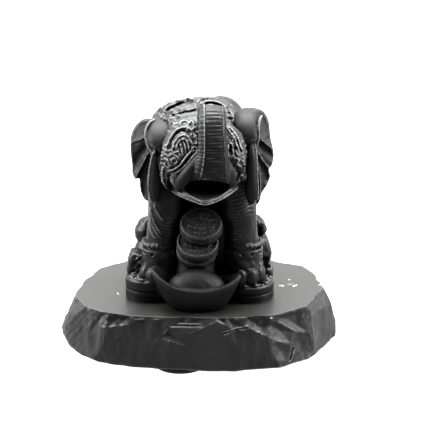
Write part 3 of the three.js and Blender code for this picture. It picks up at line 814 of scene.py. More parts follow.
BACK_GROOVES = [
    ([(0, 70.8), (1.4, 72.4), (3.4, 73.3), (6.2, 73.2), (8.4, 71.8), (9.8, 69.4)], 0.3, 0.8),
    ([(-10.9, 70.8), (-7.4, 72.6), (-3.6, 73.9)], 0.42, 1.2),
    ([(-9.5, 68.7), (-6, 69.8), (-0.9, 70.9)], 0.24, 0.9),
    ([(-9.1, 65.7), (-6.4, 66.6), (-3.7, 67.6)], 0.24, 0.8), ([(-14.5, 70.5), (-13.8, 71.2)], 0.6, 1),
    ([(-11, 66.5), (-10.4, 65.6)], 0.6, 1), ([(1.1, 74.6), (3.5, 74.9), (5.2, 74.7)], 0.22, 0.6),
    ([(1.8, 73.5), (4.8, 73.8)], 0.22, 0.6), ([(9.5, 72.1), (10.8, 71.6)], 0.3, 0.9),
    ([(10.1, 70.2), (11.3, 69.6)], 0.3, 0.9), ([(10.4, 68.2), (11.6, 67.7)], 0.3, 0.9),
    ([(10.7, 66.3), (11.7, 65.2)], 0.4, 1), ([(-16.3, 67.5), (-15.2, 68.9)], 0.4, 0.6),
    ([(-12.8, 70.3), (-11.8, 68.9)], 0.3, 0.7), ([(-8.7, 73.1), (-6.3, 74.6)], 0.22, 0.5),
]


def wrinkles(x, y, z):
    """Wrinkles across the flanks and hind legs, strong in some places and faint in others."""
    pitch = 2
    strength = 0.09 * (1 + np.clip(1.3 * murmur(x, y, z, 11, 9), -1, 1)) * smooth(46, 43, z) * smooth(0, 3, y)
    wander = 0.5 * murmur(x, y, z, 12, 3) + 0.35 * murmur(x, y, z, 5, 8)
    return strength * np.sin(TAU * (z + wander) / pitch)


def build_body():
    """The barrel of the body with the hind legs and the tail, wrinkled below the cloth."""
    f = Field([-22, -18, 10], [22, 33.5, 66], 0.55)
    f.add(egg((0.2, 10, 46.2), (18.2, 20, 20.2), 2.5))
    f.add(egg((1, -1.5, 47.5), (16, 12, 13), 2.3), 2)
    for side in (-1, 1):
        f.add(
            limb([(side * 13.4, 19.6, 10, 6.8, 7.2), (side * 12.4, 20, 18, 6, 6.6),
                  (side * 11.4, 20, 28, 6.6, 8), (side * 9.6, 18, 38, 7.6, 10.4),
                  (side * 8, 15, 47, 7.6, 10)], count=20),
            2,
        )
    f.raise_by(wrinkles, [-22, -10, 12], [22, 33.5, 47])
    f.add(limb([(2, 27.5, 50, 2.2, 2), (2.6, 30.2, 42, 1.6, 1.6), (0.6, 30.4, 33, 1.5, 1.5),
                (-2.4, 29.6, 24, 2.6, 1.8), (-3.4, 28.4, 17, 1.2, 1)], count=24,
               relief=lambda s, a, b, x, y, z: 0.15 * np.cos(np.arctan2(b, a) * 7 + s * 0.5)), 0.5)
    f.floor(11)
    return f.mesh("body", "figurine_shungite", FIGURE)


def build_cloth():
    """The cover on the back: plates and bands in front, small plates in rows behind, and a smooth hump."""
    f = Field([-22, -13, 44], [22, 31, 71], 0.36)
    cover = egg((0.2, 8, 45.2), (20.1, 20.5, 22.4), 2.5)
    cut, x, y, z = f.window([-22, -13, 46], [22, 27, 71], 0)
    top = soft_max(cover(x, y, z), np.maximum(47 - z, y - 24), 0.6)
    plated = np.maximum(smooth(8, 11, y), smooth(16.2, 18, np.abs(x)))
    f.d[cut] = np.minimum(f.d[cut], top - cloth_relief(x, y, z) * plated)
    hump = egg((7.8, 17, 57), (9.4, 11.4, 10))
    f.add(hump, 1.2)
    chart = Chart((-22, 50), (24, 80))
    chart.plates(BACK_PLATES)
    chart.ridges(BACK_RIDGES)
    chart.grooves(BACK_GROOVES)
    u, v = chart.u[:, None], chart.v[None, :]
    worn = 1 - 0.75 * smooth(7, 12, u) * smooth(66, 71, v)
    chart.height += worn * (0.2 * murmur(u, v, 0, 3.1, 81) + 0.13 * murmur(u * 0.6, v, 0, 1.5, 82))

    def front_relief(x, y, z):
        return chart.at(x, y, z) * (1 - smooth(9, 13, y)) * (1 - smooth(16.4, 18.2, np.abs(x)))

    f.raise_by(front_relief, [-22, -13, 46], [22, 14, 71])
    return f.mesh("back_cloth", "figurine_shungite", FIGURE)


def cloth_relief(x, y, z):
    """Overlapping plates in rows across the back, with dark joints between them."""
    row_width, plate_length, radius = 3.3, 6.4, 22
    angle = np.arctan2(x, z - 40)
    warp = 0.5 * murmur(x, y, z, 14, 5)
    row = (y + warp) / row_width
    n = np.floor(row)
    in_row = row - n
    along = angle * radius / plate_length + 0.5 * (n % 2) + 0.2 * np.sin(n * 2.3)
    m = np.floor(along)
    in_plate = along - m
    joint = np.minimum(in_row, 1 - in_row) * row_width
    end = np.minimum(in_plate, 1 - in_plate) * plate_length
    gap = np.minimum(joint, end)
    lift = 0.25 * np.sin(n * 12.9 + m * 78.2)
    lines = 0.1 * np.cos(TAU * in_row * 3)
    return smooth(0.1, 0.55, gap) * (0.9 + lift + lines) - 0.6


# The forelegs and what they stand on.

def build_foreleg(name, side):
    """A foreleg with its wrinkles, anklet and toes, on two thick coins."""

    def off(x):
        return 1.3 + side * x

    lo_x, hi_x = (-27, -4.5) if side < 0 else (5.5, 28)
    f = Field([lo_x, -19.5, -0.6], [hi_x, 5, 51], 0.33)
    stops = [
        (off(14.8), -9.8, 4, 7.3, 7.8), (off(14.8), -9.6, 11, 7, 7.3), (off(14.2), -9, 17, 6.2, 6.4),
        (off(13.7), -8.6, 24, 6, 6.2), (off(13.2), -8, 32, 6, 6.4), (off(12.6), -6, 40, 6.4, 7.4),
        (off(10.6), -1, 48, 6, 7),
    ]
    f.add(limb(stops, count=36, relief=lambda s, a, b, x, y, z: leg_relief(side, x, y, z)))
    ax, ay = off(14.2), -9.1
    bead_count, petal_count = 26, 12

    def anklet(x, y, z):
        r = np.hypot(x - ax, y - ay)
        turns = np.arctan2(y - ay, x - ax) / TAU
        bead, petal = (np.abs((turns * count % 1) - 0.5) * 2 for count in (bead_count, petal_count))
        outward = smooth(-0.1, 0.8, side * (x - ax) / np.maximum(r, 1))
        beaded = np.hypot(r - 5.4 - 1.3 * outward, z - 20.4) - 0.9 + 0.3 * bead**2
        plain = np.hypot(r - 5.9 - outward, z - 18.4) - 0.6
        petals = np.maximum(np.abs(r - 5.7 - 0.8 * outward) - 0.9, np.abs(z - 16) - 2.2 + 1.4 * petal**2)
        return np.minimum(np.minimum(beaded, plain), petals)

    f.add(Form([ax - 8, ay - 8, 13], [ax + 8, ay + 8, 22], anklet), 0.35)
    for degrees in (-60, -25, 12):
        t = math.radians(-90 - side * degrees)
        c = (off(14.8) + 6.7 * math.cos(t), -9.7 + 7.1 * math.sin(t), 9.2)
        f.add(egg(c, (2.4, 1.6, 3.3), 2.2, (0, 0, math.degrees(t) + 90)), 0.35)
        c = (off(14.8) + 7.2 * math.cos(t), -9.7 + 7.6 * math.sin(t), 8.9)
        f.add(egg(c, (1.55, 1.3, 2.6), 2.2, (0, 0, math.degrees(t) + 90)), 0.1)
    x0, y0, radius, height = (-17.6, -9.2, 8.7, 8) if side < 0 else (17.8, -9.2, 9.2, 6)
    f.add(disc(x0, y0, radius, height), 0.2)
    rng = np.random.default_rng(11 + side)
    for _ in range(90):
        r = (radius - 0.9) * math.sqrt(rng.uniform(0.12, 1))
        t = rng.uniform(0, TAU)
        s = rng.uniform(0.55, 1.0)
        place = (x0 + r * math.cos(t), y0 + r * math.sin(t), height + rng.uniform(-0.1, 0.5))
        f.add(egg(place, (s, s, s * 0.8)), 0.12)
    if side < 0:
        chart = Chart((-22, 15), (-6, 42))
        chart.ridges(LEG_FOLDS)
        f.raise_by(lambda x, y, z: chart.at(x, y, z) * smooth(-4, -8, y), [-27, -19, 20], [-5, 2, 42])
    f.floor()
    return f.mesh(name, "figurine_shungite", FIGURE)


LEG_FOLDS = [
    ([(-16.9, 36.4), (-16.1, 32.8), (-14.4, 28.8), (-12.7, 26.3)], 0.4, 0.6),
    ([(-17.1, 33.9), (-16.3, 30.3), (-14.4, 26.6), (-13, 24.8)], 0.35, 0.55),
    ([(-17.3, 31), (-16.4, 27.4), (-14.9, 24.5)], 0.35, 0.5),
    ([(-15.4, 37.1), (-14, 33.9), (-12, 31)], 0.35, 0.5),
]


def leg_relief(side, x, y, z):
    """Wrinkles across the leg that slant near its top, and small lumps about the foot."""
    pitch = 1.15
    slant = 0.35 * smooth(30, 38, z) * (-side) * (x - side * 13)
    phase = z + slant + 0.5 * murmur(x, y, z, 8, 7)
    patches = 0.5 + 0.5 * np.clip(murmur(x, y, z, 12, 2), -1, 1)
    strength = smooth(20, 24, z) * patches * (0.55 if side < 0 else 0.9)
    lumps = 0.34 * (1 - smooth(19, 22, z)) * murmur(x, y, z * 0.7, 3.4, 6)
    return 0.2 * strength * np.sin(TAU * phase / pitch) + 0.06 * murmur(x, y, z, 3, 4) + lumps


# Coins, ingot and treasure.

def coin_face(a, b, r):
    """A raised rim, a ring of dots, and worn shallow strokes about the middle."""
    angle = np.arctan2(b, a)
    rim = 0.5 * smooth(6.2, 6.6, r) * (1 - smooth(7.2, 7.5, r))
    dots = 0.25 * np.clip(np.cos(angle * 30), 0, 1) * bell(r - 5.6, 0.35) * (1 + 0.4 * np.sin(angle * 7))
    field = smooth(1.2, 1.7, r) * (1 - smooth(4.7, 5.1, r))
    strokes = 0.3 * smooth(0, 0.5, murmur(a, b, 0, 2.4, 101))
    strokes = strokes + 0.2 * smooth(0.1, 0.5, murmur(a, b, 0, 1.5, 102))
    boss = 0.3 * (1 - smooth(0.9, 1.3, r))
    return 0.75 * (rim + dots + field * strokes + boss) - 0.4


# Centre, radius and thickness of each coin in the leaning stack.
LEANING = [((1, -14.5, 28.0), 7.6, 3.9), ((-0.2, -16.4, 22.1), 7.4, 3.5), ((-0.6, -14.7, 18.9), 7.3, 3.3)]


def build_coins():
    """The stack of thick coins that leans back against the chest, and what holds it up behind."""
    f = Field([-11.5, -26, 8], [10.5, -4, 37], 0.29)
    for centre, radius, thickness in LEANING:
        f.add(coin(centre, radius, thickness, 33, coin_face))
    f.add(limb([(0.5, -12, 26, 5, 4), (-0.5, -13, 18, 6, 5), (-1, -14, 10, 7, 6)], count=8), 0.3)
    return f.mesh("leaning_coins", "figurine_shungite", DULL_SHADED)


def build_ingot():
    """A boat-shaped ingot with straight flaring sides, a thick rounded rim and a dome in its bowl."""
    f = Field([-19.5, -32, -0.6], [18, -11.5, 17.5], 0.3)
    cx, cy = -0.8, -21.8
    half_length, half_depth, bowl_floor = 16.5, 8.25, 5.2
    end_wall, side_wall = 2.9, 2.6
    tilt = math.tan(math.radians(-2.5))

    def oval(px, py, a, b):
        r = np.sqrt((px / a) ** 2 + (py / b) ** 2 + 1e-6)
        return (r - 1) * np.maximum(np.hypot(px, py) / r, 4)

    def boat(x, y, z):
        px, py = x - cx, y - cy
        z = z - 0.45 - tilt * px
        across = np.clip(np.abs(px) / half_length, 0, 1.1)
        rim = 8.8 + 5 * across**2.4 + smooth(-8, -15, px) * (0.8 + 1.4 * smooth(0, 5, py))
        rise = np.clip(z / rim, 0, 1)
        a = half_length * (0.58 + 0.42 * rise**0.92)
        b = half_depth * (0.6 + 0.4 * rise**0.8)
        solid = soft_max(soft_max(oval(px, py, a, b), z - rim, 2.2), -z, 0.8)
        bowl = soft_max(oval(px, py, a - end_wall, b - side_wall), bowl_floor - z, 1.2)
        return soft_max(solid, -bowl, 1.2)

    f.add(Form([cx - 17, cy - 9, 0], [cx + 17, cy + 9, 15], boat))
    cut, x, y, z = f.window([cx - 17, cy - 8, bowl_floor], [cx + 17, cy + 8, 16], 0)
    dome = egg((cx + 0.1, cy + 0.2, 5.6), (11, 6.6, 8.7), 1.95)(x, y, z)
    f.d[cut] = soft_min(f.d[cut], dome, 0.5)
    f.raise_by(lambda x, y, z: 0.03 * murmur(x, y, z, 2.4, 91), [-19, -32, 0], [18, -11.5, 17.5])
    f.floor()
    return f.mesh("ingot", "figurine_shungite", DULL_SHADED)


WEDGE_STRIPES = [
    ([(-22.3, 13.7), (-20.2, 16.2), (-17.8, 18.5)], 0.35, 0.6),
    ([(-21.9, 12.6), (-19.5, 15.1), (-17.5, 16.9)], 0.3, 0.5),
    ([(-22.4, 16.5), (-20.6, 18), (-18.8, 19.3)], 0.3, 0.5),
    ([(-22.3, 19.1), (-20.2, 18.4), (-17.8, 17.6)], 0.3, 0.4),
]


def build_treasure():
    """The heap under the belly, the lumps and bundles at its sides, and the hind feet on their coins."""
    f = Field([-29, -9.5, -0.6], [29, 30, 29], 0.45)
    f.add(limb([(0.8, -14, 13, 9.5, 12), (0.6, -6, 15, 16, 14), (0.2, 6, 15, 19.5, 15), (0, 16, 14, 17, 14),
                (0, 22.4, 12, 8, 9)], 3, count=24))
    f.add(egg((-18.9, 4, 20.2), (4.5, 5.4, 5.3), taper=-0.15), 0.2)
    f.add(egg((-18.6, 2, 14.2), (4.7, 5, 3.8)), 0.2)
    f.add(egg((-20.7, -3.4, 10.6), (5, 5, 4.3), 5, (0, 8, 0)), 0.2)
    f.add(egg((18.6, 2.4, 21), (3.6, 4, 4), turn=(0, 35, 0)), 0.2)
    f.add(limb([(18.5, 1.4, 26, 1.6, 2.8), (21.6, 1.4, 24.6, 1.7, 2.8), (23.2, 1.4, 21.4, 1.5, 2.6),
                (21.8, 1.4, 19.2, 1, 2)], count=20), 0.2)
    f.add(egg((20.6, 2.4, 13.8), (5.4, 6, 6.4), 3, (0, -14, 8)), 0.2)
    f.add(egg((22, -1.4, 6.8), (5, 5, 3.4), 3.4), 0.2)
    f.cut(egg((23.4, -4, 10.4), (3.6, 2.6, 2.2)), 0.3)
    chart = Chart((-27, 8), (-12, 36))
    chart.ridges(WEDGE_STRIPES)
    f.raise_by(lambda x, y, z: chart.at(x, y, z) * smooth(2, -1, y), [-27, -9.5, 2], [-13, 3, 20])
    f.raise_by(lambda x, y, z: 0.16 * murmur(x, y, z, 3.4, 95) + 0.1 * murmur(x, y, z, 1.7, 96),
               [-29, -9.5, 2], [29, 14, 28])
    f.add(egg((-18.4, 11.5, 9), (5, 6, 5.8)), 0.2)
    f.add(egg((18.4, 11.5, 9), (5, 6, 5.8)), 0.2)
    f.add(disc(-14, 19.5, 9.4, 6.5), 0.2)
    f.add(disc(14, 19.5, 9.4, 6.5), 0.2)
    for side in (-1, 1):
        for degrees in (-60, -25, 12):
            t = math.radians(-90 - side * degrees)
            f.add(egg((side * 13.5 + 6.6 * math.cos(t), 19.5 + 7.2 * math.sin(t), 9.5), (1.7, 1.4, 3.6)), 0.2)
        f.add(limb([(side * 13.6, 19.4, 4, 7, 7.4), (side * 13.4, 19.6, 12, 6.7, 7.1)], count=6), 0.5)
    f.floor()
    return f.mesh("treasure", "figurine_shungite", FIGURE)


build_head()
build_trunk()
for ear_name in EARS:
    build_ear(ear_name)
build_body()
build_cloth()
build_foreleg("foreleg_left", -1)
build_foreleg("foreleg_right", 1)
build_coins()
build_ingot()
build_treasure()


# The slab and its pads.

SLAB_CORNERS = [
    (1.0, -0.05), (0.96, 0.24), (0.94, 0.45), (0.85, 0.7), (0.71, 0.78), (0.58, 0.9), (0.3, 0.97),
    (-0.02, 1.0), (-0.35, 0.96), (-0.61, 0.87), (-0.82, 0.62), (-0.92, 0.22), (-0.98, -0.17),
    (-0.96, -0.36), (-0.88, -0.62), (-0.76, -0.8), (-0.53, -0.92), (-0.19, -0.97), (0.24, -1.0),
    (0.61, -0.89), (0.83, -0.64), (0.88, -0.45),
]
# The slab's underside and top in mm above the table.
FOOT, CROWN = 2.5, 22.5
# Half of the plan of its top in mm.
HALF_LENGTH, HALF_DEPTH = 45.8, 31.9
# Heights in mm, each with its flare in X and Y, its break towards the near left corner, and how much wider it
# is to the left and to the right.
SLAB_LEVELS = [
    (FOOT, 2.0, 1.0, 4.0, 0.024, 0.035), (3.6, 3.2, 1.2, 3.6, 0.034, 0.04),
    (8.6, 4.3, 1.6, 2.0, 0.042, 0.024), (16.4, 1.9, 0.8, 0.3, 0.026, 0.018), (CROWN, 0.0, 0.0, 0.0, 0, 0),
]
# Flat breaks between the arrises: two points of each on the plan in mm, its height and its lean.
KNAPS = [
    ((-34.3, -27.6), (-40.6, -20.6), 11, 0.06), ((-40.4, -21.7), (-48.6, -12.6), 11, 0.02),
    ((-47.6, -14.4), (-51.0, -3.0), 11, 0.02), ((-34.6, -27.2), (-8.0, -32.3), 9, 0.03),
    ((-9.0, -32.2), (20.0, -32.9), 9, -0.02), ((24.8, -32.0), (32.6, -26.0), 7, 0.14),
    ((32.0, -27.0), (41.6, -18.4), 9, 0.1), ((40.2, -20.8), (48.2, -4.5), 9, 0.1),
    ((44.0, 12.0), (33.0, 26.0), 10, 0.05), ((24.0, 30.0), (-6.0, 33.0), 10, -0.05),
    ((-16.0, 32.4), (-38.0, 23.0), 12, 0.08), ((-38.0, 25.0), (-50.4, 4.0), 9, -0.04),
]
# Arrises on the near side: lines of X, height and how far each lies inside the plain shape.
ARRISES = [
    [(-40.4, 22.2, 0.1), (-39.5, 18.2, 0), (-40.4, 13, 0), (-39.4, 6.4, 0.2)],
    [(-44.3, 22.2, 0.1), (-44.1, 18.4, 0.1), (-47.1, 9.6, 0.1)],
    [(-34.7, 22.3, 0.3), (-33.9, 20.6, 0.2), (-33.1, 17.4, 0), (-33.1, 13.2, 0), (-33.2, 9.1, 0.1),
      (-32.6, 6.1, 0.2)],
    [(-33.1, 17.4, 0), (-29.3, 18.1, 0.1), (-25.1, 19.1, 0.05), (-22.9, 20.8, 0.05), (-18.9, 21.8, 0.1)],
    [(-16.7, 19.2, 0.05), (-15.8, 21.4, 0.1), (-11.4, 21.9, 0.15)],
    [(-8.9, 19.6, 0.3), (-4.2, 19.9, 0.35), (0.7, 19.9, 0.25)], [(-9.9, 19.2, 0.1), (-12.9, 14.6, 0.1)],
    [(-3.8, 16.7, 0.1), (0.3, 18.3, 0.05), (4.5, 20.4, 0), (6.9, 21.6, 0), (10.7, 19.8, 0.1)],
    [(8.8, 17.3, 0.15), (12.6, 18.6, 0.1), (17, 19.2, 0.05)],
    [(14.1, 22, 0.1), (17, 19.2, 0), (20.1, 17.7, 0), (23.4, 15.7, 0), (25, 12.1, 0), (25.4, 6.5, 0.1)],
    [(23.4, 15.7, 0), (28.6, 12.4, 0.1), (33.2, 10.5, 0)],
    [(35.8, 14.1, 0), (33.2, 10.5, 0), (32.9, 9.5, 0), (32.6, 6.9, 0.05), (31, 4.6, 0.1)],
    [(39.3, 22.2, 0.1), (39.8, 17.5, 0), (40.6, 12.4, 0), (42.1, 8.1, 0), (41.8, 4.2, 0.1)],
    [(27, 20.8, 0.15), (31.4, 18.4, 0.1), (35.8, 14.1, 0)],
]
# The hollows of the breaks between them, in the same terms.
HOLLOWS = [
    (-42.3, 20, 0.45), (-42.9, 12.1, 0.35), (-36.9, 20.6, 0.9), (-37.7, 17.2, 0.6), (-36.3, 14.1, 0.5),
    (-36.8, 8.9, 0.6), (-38.8, 21.6, 0.4), (-30.7, 20.4, 1), (-27.9, 20.2, 0.9), (-26.4, 21.4, 0.7),
    (-31.4, 22, 0.5), (-20.5, 20.4, 0.5), (-14.2, 20.3, 0.7), (-13.2, 17.4, 0.6), (-5.6, 21.2, 0.9),
    (-0.7, 21.4, 0.8), (2.4, 21.8, 0.4), (-7.7, 17.3, 0.3), (-11.1, 16.4, 0.8), (9, 21.5, 0.7),
    (12.1, 21.3, 0.9), (14.5, 20, 0.6), (13.1, 17.5, 0.4), (18.6, 21.3, 0.9), (20.7, 20, 0.8),
    (23.5, 21.8, 0.5), (26.7, 18.1, 0.9), (31.1, 15.4, 1), (22.1, 18.3, 0.8), (29.3, 13.7, 0.6),
    (29, 8.7, 0.7), (27.5, 10.7, 0.5), (31, 20.8, 0.5), (34.3, 18.6, 0.7), (36.9, 16.2, 0.6),
    (37.5, 20.6, 0.5), (35.3, 21.4, 0.4), (36.6, 10.2, 0.7), (37.4, 6.1, 0.5), (44.3, 12.5, 0.45),
    (44.9, 19.2, 0.3), (43.6, 7.4, 0.4), (-23.8, 14.2, 0.15), (-16.8, 12.8, 0.1), (-2.8, 12.1, 0.1),
    (5.9, 13.3, 0.05), (14.5, 12.3, 0.12), (-27.4, 9.3, 0.2), (19.4, 14.2, 0.15),
]
# Steps and cracks on the near side: lines of X and height, with a width and a depth.
CRACKS = [
    ([(-9, 19.4), (-4, 19.5), (1, 19.6)], 0.28, 0.6), ([(-10.4, 18.8), (-13.2, 14.2)], 0.5, 0.4),
    ([(33.6, 8), (32.4, 4.6)], 0.3, 0.8), ([(8.8, 16.9), (12.6, 18.2), (17, 18.8)], 0.25, 0.45),
    ([(-22, 20.8), (-19, 20.2)], 0.3, 0.3), ([(-9.5, 13.4), (-9.2, 8.8)], 0.3, 0.12),
]
# Rows of the net's corners where no arris is drawn: height, spacing and greatest depth.
NET_ROWS = [(CROWN, 3.2, 0.4), (20.6, 4.2, 0.6), (16.5, 6, 0.6), (12, 7, 0.5), (7.5, 6, 0.6), (FOOT, 5, 0.4)]
# How far the net runs on past its own start.
NET_OVERLAP = 14
SLAB_AROUND, SLAB_UP = ((780, 54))


def slab_ring(flare_x, flare_y, spall, left, right):
    """The slab's outline at one level, evenly spaced."""
    ring = []
    for i, (u, v) in enumerate(SLAB_CORNERS):
        nu, nv = SLAB_CORNERS[(i + 1) % len(SLAB_CORNERS)]
        for share in (0, 0.5):
            x, y = u + (nu - u) * share, v + (nv - v) * share
            out = math.hypot(x, y)
            broken = spall * max(0, -x) * max(0, -y)
            ring.append((
                x * HALF_LENGTH + x / out * (flare_x - broken),
                y * HALF_DEPTH + y / out * (flare_y - broken),
            ))
    loop = np.array(ring + ring[:1])
    run = np.concatenate([[0], np.cumsum(np.linalg.norm(np.diff(loop, axis=0), axis=1))])
    s = np.linspace(0, run[-1], SLAB_AROUND, endpoint=False)
    ring = np.stack([np.interp(s, run, loop[:, k]) for k in (0, 1)], axis=1)
    ring[:, 0] *= 1 + left * smooth(0, -34, ring[:, 0]) + right * smooth(20, 44, ring[:, 0])
    return ring


def net_depth(p, z, ring, out):
    """How deep the flat breaks lie: straight between the corners of a net around the slab's side."""
    rng = np.random.default_rng(21)
    step = np.linalg.norm(np.roll(ring, -1, axis=0) - ring, axis=1)
    around = np.concatenate([[0], np.cumsum(step)[:-1]])
    total = step.sum()
    middle = p[len(z) // 2]
    front = np.where((out[:, 1] < -0.05) & (np.abs(middle[:, 0]) < 47.6))[0]
    order = front[np.argsort(middle[front, 0])]

    def place(x):
        return float(np.interp(x, middle[order, 0], around[order]))

    corners, edges = [], []
    for line in ARRISES:
        for n, (x, height, depth) in enumerate(line):
            corners.append((place(x), height, depth))
            if n:
                edges.append((len(corners) - 2, len(corners) - 1))
    corners += [(place(x), height, depth) for x, height, depth in HOLLOWS]
    near, far = around[order].min(), around[order].max()
    for height, pitch, deepest in NET_ROWS:
        on_edge = height in (FOOT, CROWN)
        s = rng.uniform(0, pitch)
        while s < total:
            if on_edge or not near - 1 < s < far + 1:
                level = height if on_edge else min(height + rng.uniform(-1.6, 1.6), CROWN - 0.9)
                corners.append((s, level, rng.uniform(0, deepest)))
            s += pitch * rng.uniform(0.6, 1.4)
    for s, height, depth in list(corners):
        if s < NET_OVERLAP or s > total - NET_OVERLAP:
            corners.append((s + total if s < NET_OVERLAP else s - total, height, depth))
    flat = [mathutils.Vector((s, height)) for s, height, _ in corners]
    points, _, faces, origin, _, _ = mathutils.geometry.delaunay_2d_cdt(flat, edges, [], 0, 0.01)
    depth = [corners[o[0]][2] if o else 0.1 for o in origin]
    result = np.full((len(z), len(around)), np.nan)
    for face in faces:
        (ax, ay), (bx, by), (cx, cy) = (points[i] for i in face)
        area = (bx - ax) * (cy - ay) - (cx - ax) * (by - ay)
        if abs(area) < 1e-6:
            continue
        a0, a1 = np.searchsorted(around, (min(ax, bx, cx) - 0.3, max(ax, bx, cx) + 0.3))
        z0, z1 = np.searchsorted(z, (min(ay, by, cy) - 0.3, max(ay, by, cy) + 0.3))
        s, h = around[None, a0:a1 + 1], z[z0:z1 + 1, None]
        wb = ((s - ax) * (cy - ay) - (cx - ax) * (h - ay)) / area
        wc = ((bx - ax) * (h - ay) - (s - ax) * (by - ay)) / area
        value = depth[face[0]] * (1 - wb - wc) + depth[face[1]] * wb + depth[face[2]] * wc
        inside = (wb >= -2e-3) & (wc >= -2e-3) & (wb + wc <= 1.002)
        part = result[z0:z1 + 1, a0:a1 + 1]
        part[inside] = value[inside]
    for _ in range(12):
        result = np.where(np.isnan(result), np.roll(result, 1, axis=1), result)
    return np.nan_to_num(result, nan=0.1)


def build_slab():
    """The raw slab: its plain shape, moved inwards by flat breaks, cracks and roughness."""
    rings = [slab_ring(*level[1:]) for level in SLAB_LEVELS]
    heights = [level[0] for level in SLAB_LEVELS]
    z = np.concatenate([np.linspace(FOOT, CROWN - 0.2, SLAB_UP - 1), [CROWN - 0.08, CROWN]])
    rows = len(z)
    p = np.empty((rows, SLAB_AROUND, 3))
    for k in (0, 1):
        stack = np.array([r[:, k] for r in rings])
        for a in range(SLAB_AROUND):
            p[:, a, k] = np.interp(z, heights, stack[:, a])
    p[:, :, 2] = z[:, None]
    tangent = np.roll(rings[2], -6, axis=0) - np.roll(rings[2], 6, axis=0)
    out = np.stack([tangent[:, 1], -tangent[:, 0]], axis=1)
    out /= np.linalg.norm(out, axis=1)[:, None]
    inward = np.zeros((rows, SLAB_AROUND))

    def moved():
        q = p.copy()
        q[:, :, :2] -= inward[:, :, None] * out[None, :, :]
        return q

    for (x1, y1), (x2, y2), height, lean in KNAPS:
        n = np.array([y2 - y1, x1 - x2])
        n /= np.linalg.norm(n)
        if n @ np.array([x1, y1]) < 0:
            n = -n
        beyond = p[:, :, 0] * n[0] + p[:, :, 1] * n[1] - n @ np.array([x1, y1]) + lean * (p[:, :, 2] - height)
        facing = out @ n
        cut = np.where(facing[None, :] > 0.5, beyond / np.maximum(facing, 0.5)[None, :], 0)
        inward = np.maximum(inward, np.clip(cut, 0, 2.5) * (1 - smooth(19.5, 22.4, p[:, :, 2])))
    inward += 1.7 * net_depth(p, z, rings[2], out)
    q = moved()
    x, y, zz = (q[:, :, k].astype(F) for k in range(3))
    side = 1 - smooth(22.1, 22.5, zz)
    for points, width, depth in CRACKS:
        gap, _, _ = line_gap(x, zz, points)
        inward += depth * bell(gap, width) * (y < 0) * side
    for line in ARRISES:
        for (x1, z1, _), (x2, z2, _) in zip(line[:-1], line[1:]):
            gap, _, _ = line_gap(x, zz, [(x1, z1), (x2, z2)])
            inward -= 0.09 * bell(gap, 0.22) * (y < 0) * side
    rough = smooth(-0.3, 0.8, murmur(x, y, zz, 17, 31)) + 0.9 * bell(x + 34, 5) * smooth(13, 18, zz) * (y < 0)
    rough = rough * (0.45 + 0.55 * smooth(17, 24, np.abs(x + 2)))
    waves = 0.10 * murmur(x, y, zz * 0.5, 5, 41) + 0.05 * np.abs(murmur(x, y, zz * 0.3, 2.4, 45))
    pits = 0.11 * murmur(x, y, zz, 2.6, 43) + 0.07 * np.abs(murmur(x, y, zz, 2, 44))
    inward += side * (waves + rough * pits)
    inward[-1] += 0.12
    inward[0] += 0.5
    inward[1] += 0.12
    q = moved()
    inner_rings = [q[-1] * [share, share, 1] for share in (0.985, 0.93, 0.75, 0.45)]
    points = np.concatenate([q.reshape(-1, 3), *inner_rings, [[0, 0, CROWN], [0, 0, FOOT]]])
    around = np.arange(SLAB_AROUND)
    ahead = (around + 1) % SLAB_AROUND
    last = (rows + len(inner_rings) - 1) * SLAB_AROUND
    quads = np.concatenate([
        np.stack([lo + around, lo + ahead, lo + SLAB_AROUND + ahead, lo + SLAB_AROUND + around], axis=1)
        for lo in range(0, last, SLAB_AROUND)
    ])
    crown, foot = len(points) - 2, len(points) - 1
    fans = np.concatenate([
        np.stack([last + around, last + ahead, np.full_like(around, crown)], axis=1),
        np.stack([ahead, around, np.full_like(around, foot)], axis=1),
    ])
    data = bpy.data.meshes.new("raw_slab")
    data.from_pydata((points * MM).tolist(), [], quads.tolist() + fans.tolist())
    data.validate()
    along = np.linalg.norm(np.roll(q, -1, axis=1) - q, axis=2)
    bend = np.roll(inward, 1, axis=1) + np.roll(inward, -1, axis=1) - 2 * inward
    bend /= np.maximum(along, 0.1) ** 2
    bend[1:-1] += (inward[2:] + inward[:-2] - 2 * inward[1:-1]) / (z[1] - z[0]) ** 2
    # The top rim is lightened all along: rubbing and a painted highlight line.
    bend[-3:] = 1.2
    bend = sum(np.roll(bend, n, axis=1) for n in (-1, 0, 1)) / 3
    wear_and_glint = np.zeros(len(points))
    wear_and_glint[:bend.size] = smooth(0.5, 3, bend).ravel()
    slab = finish_piece(data, "raw_slab", raw_shungite(), ("shungite_slab",), wear_and_glint)
    data.set_sharp_from_angle(angle=math.radians(24))
    return slab


def fleck(tree, coords, centre, length, width, degrees):
    """A soft-edged mineral streak on a surface: 1 inside it and 0 outside."""
    place = new_node(tree, "Mapping", {
        "Vector": coords,
        "Location": [c * MM for c in centre],
        "Rotation": (0, 0, math.radians(degrees)),
        "Scale": (length * MM, width * MM, 0.8 * MM),
    })
    place.vector_type = "TEXTURE"
    size = new_node(tree, "VectorMath", {0: place.outputs["Vector"]})
    size.operation = "LENGTH"
    noise = new_node(tree, "Math", {0: value_noise(tree, coords, 900, 3), 1: 0.62})
    noise.operation = "MULTIPLY"
    uneven = new_node(tree, "Math", {0: size.outputs["Value"], 1: 0.5, 2: noise.outputs["Value"]})
    uneven.operation = "MULTIPLY_ADD"
    return ramp(tree, uneven.outputs["Value"], [(0.0, 1.0), (0.5, 1.0), (0.62, 0.0)])


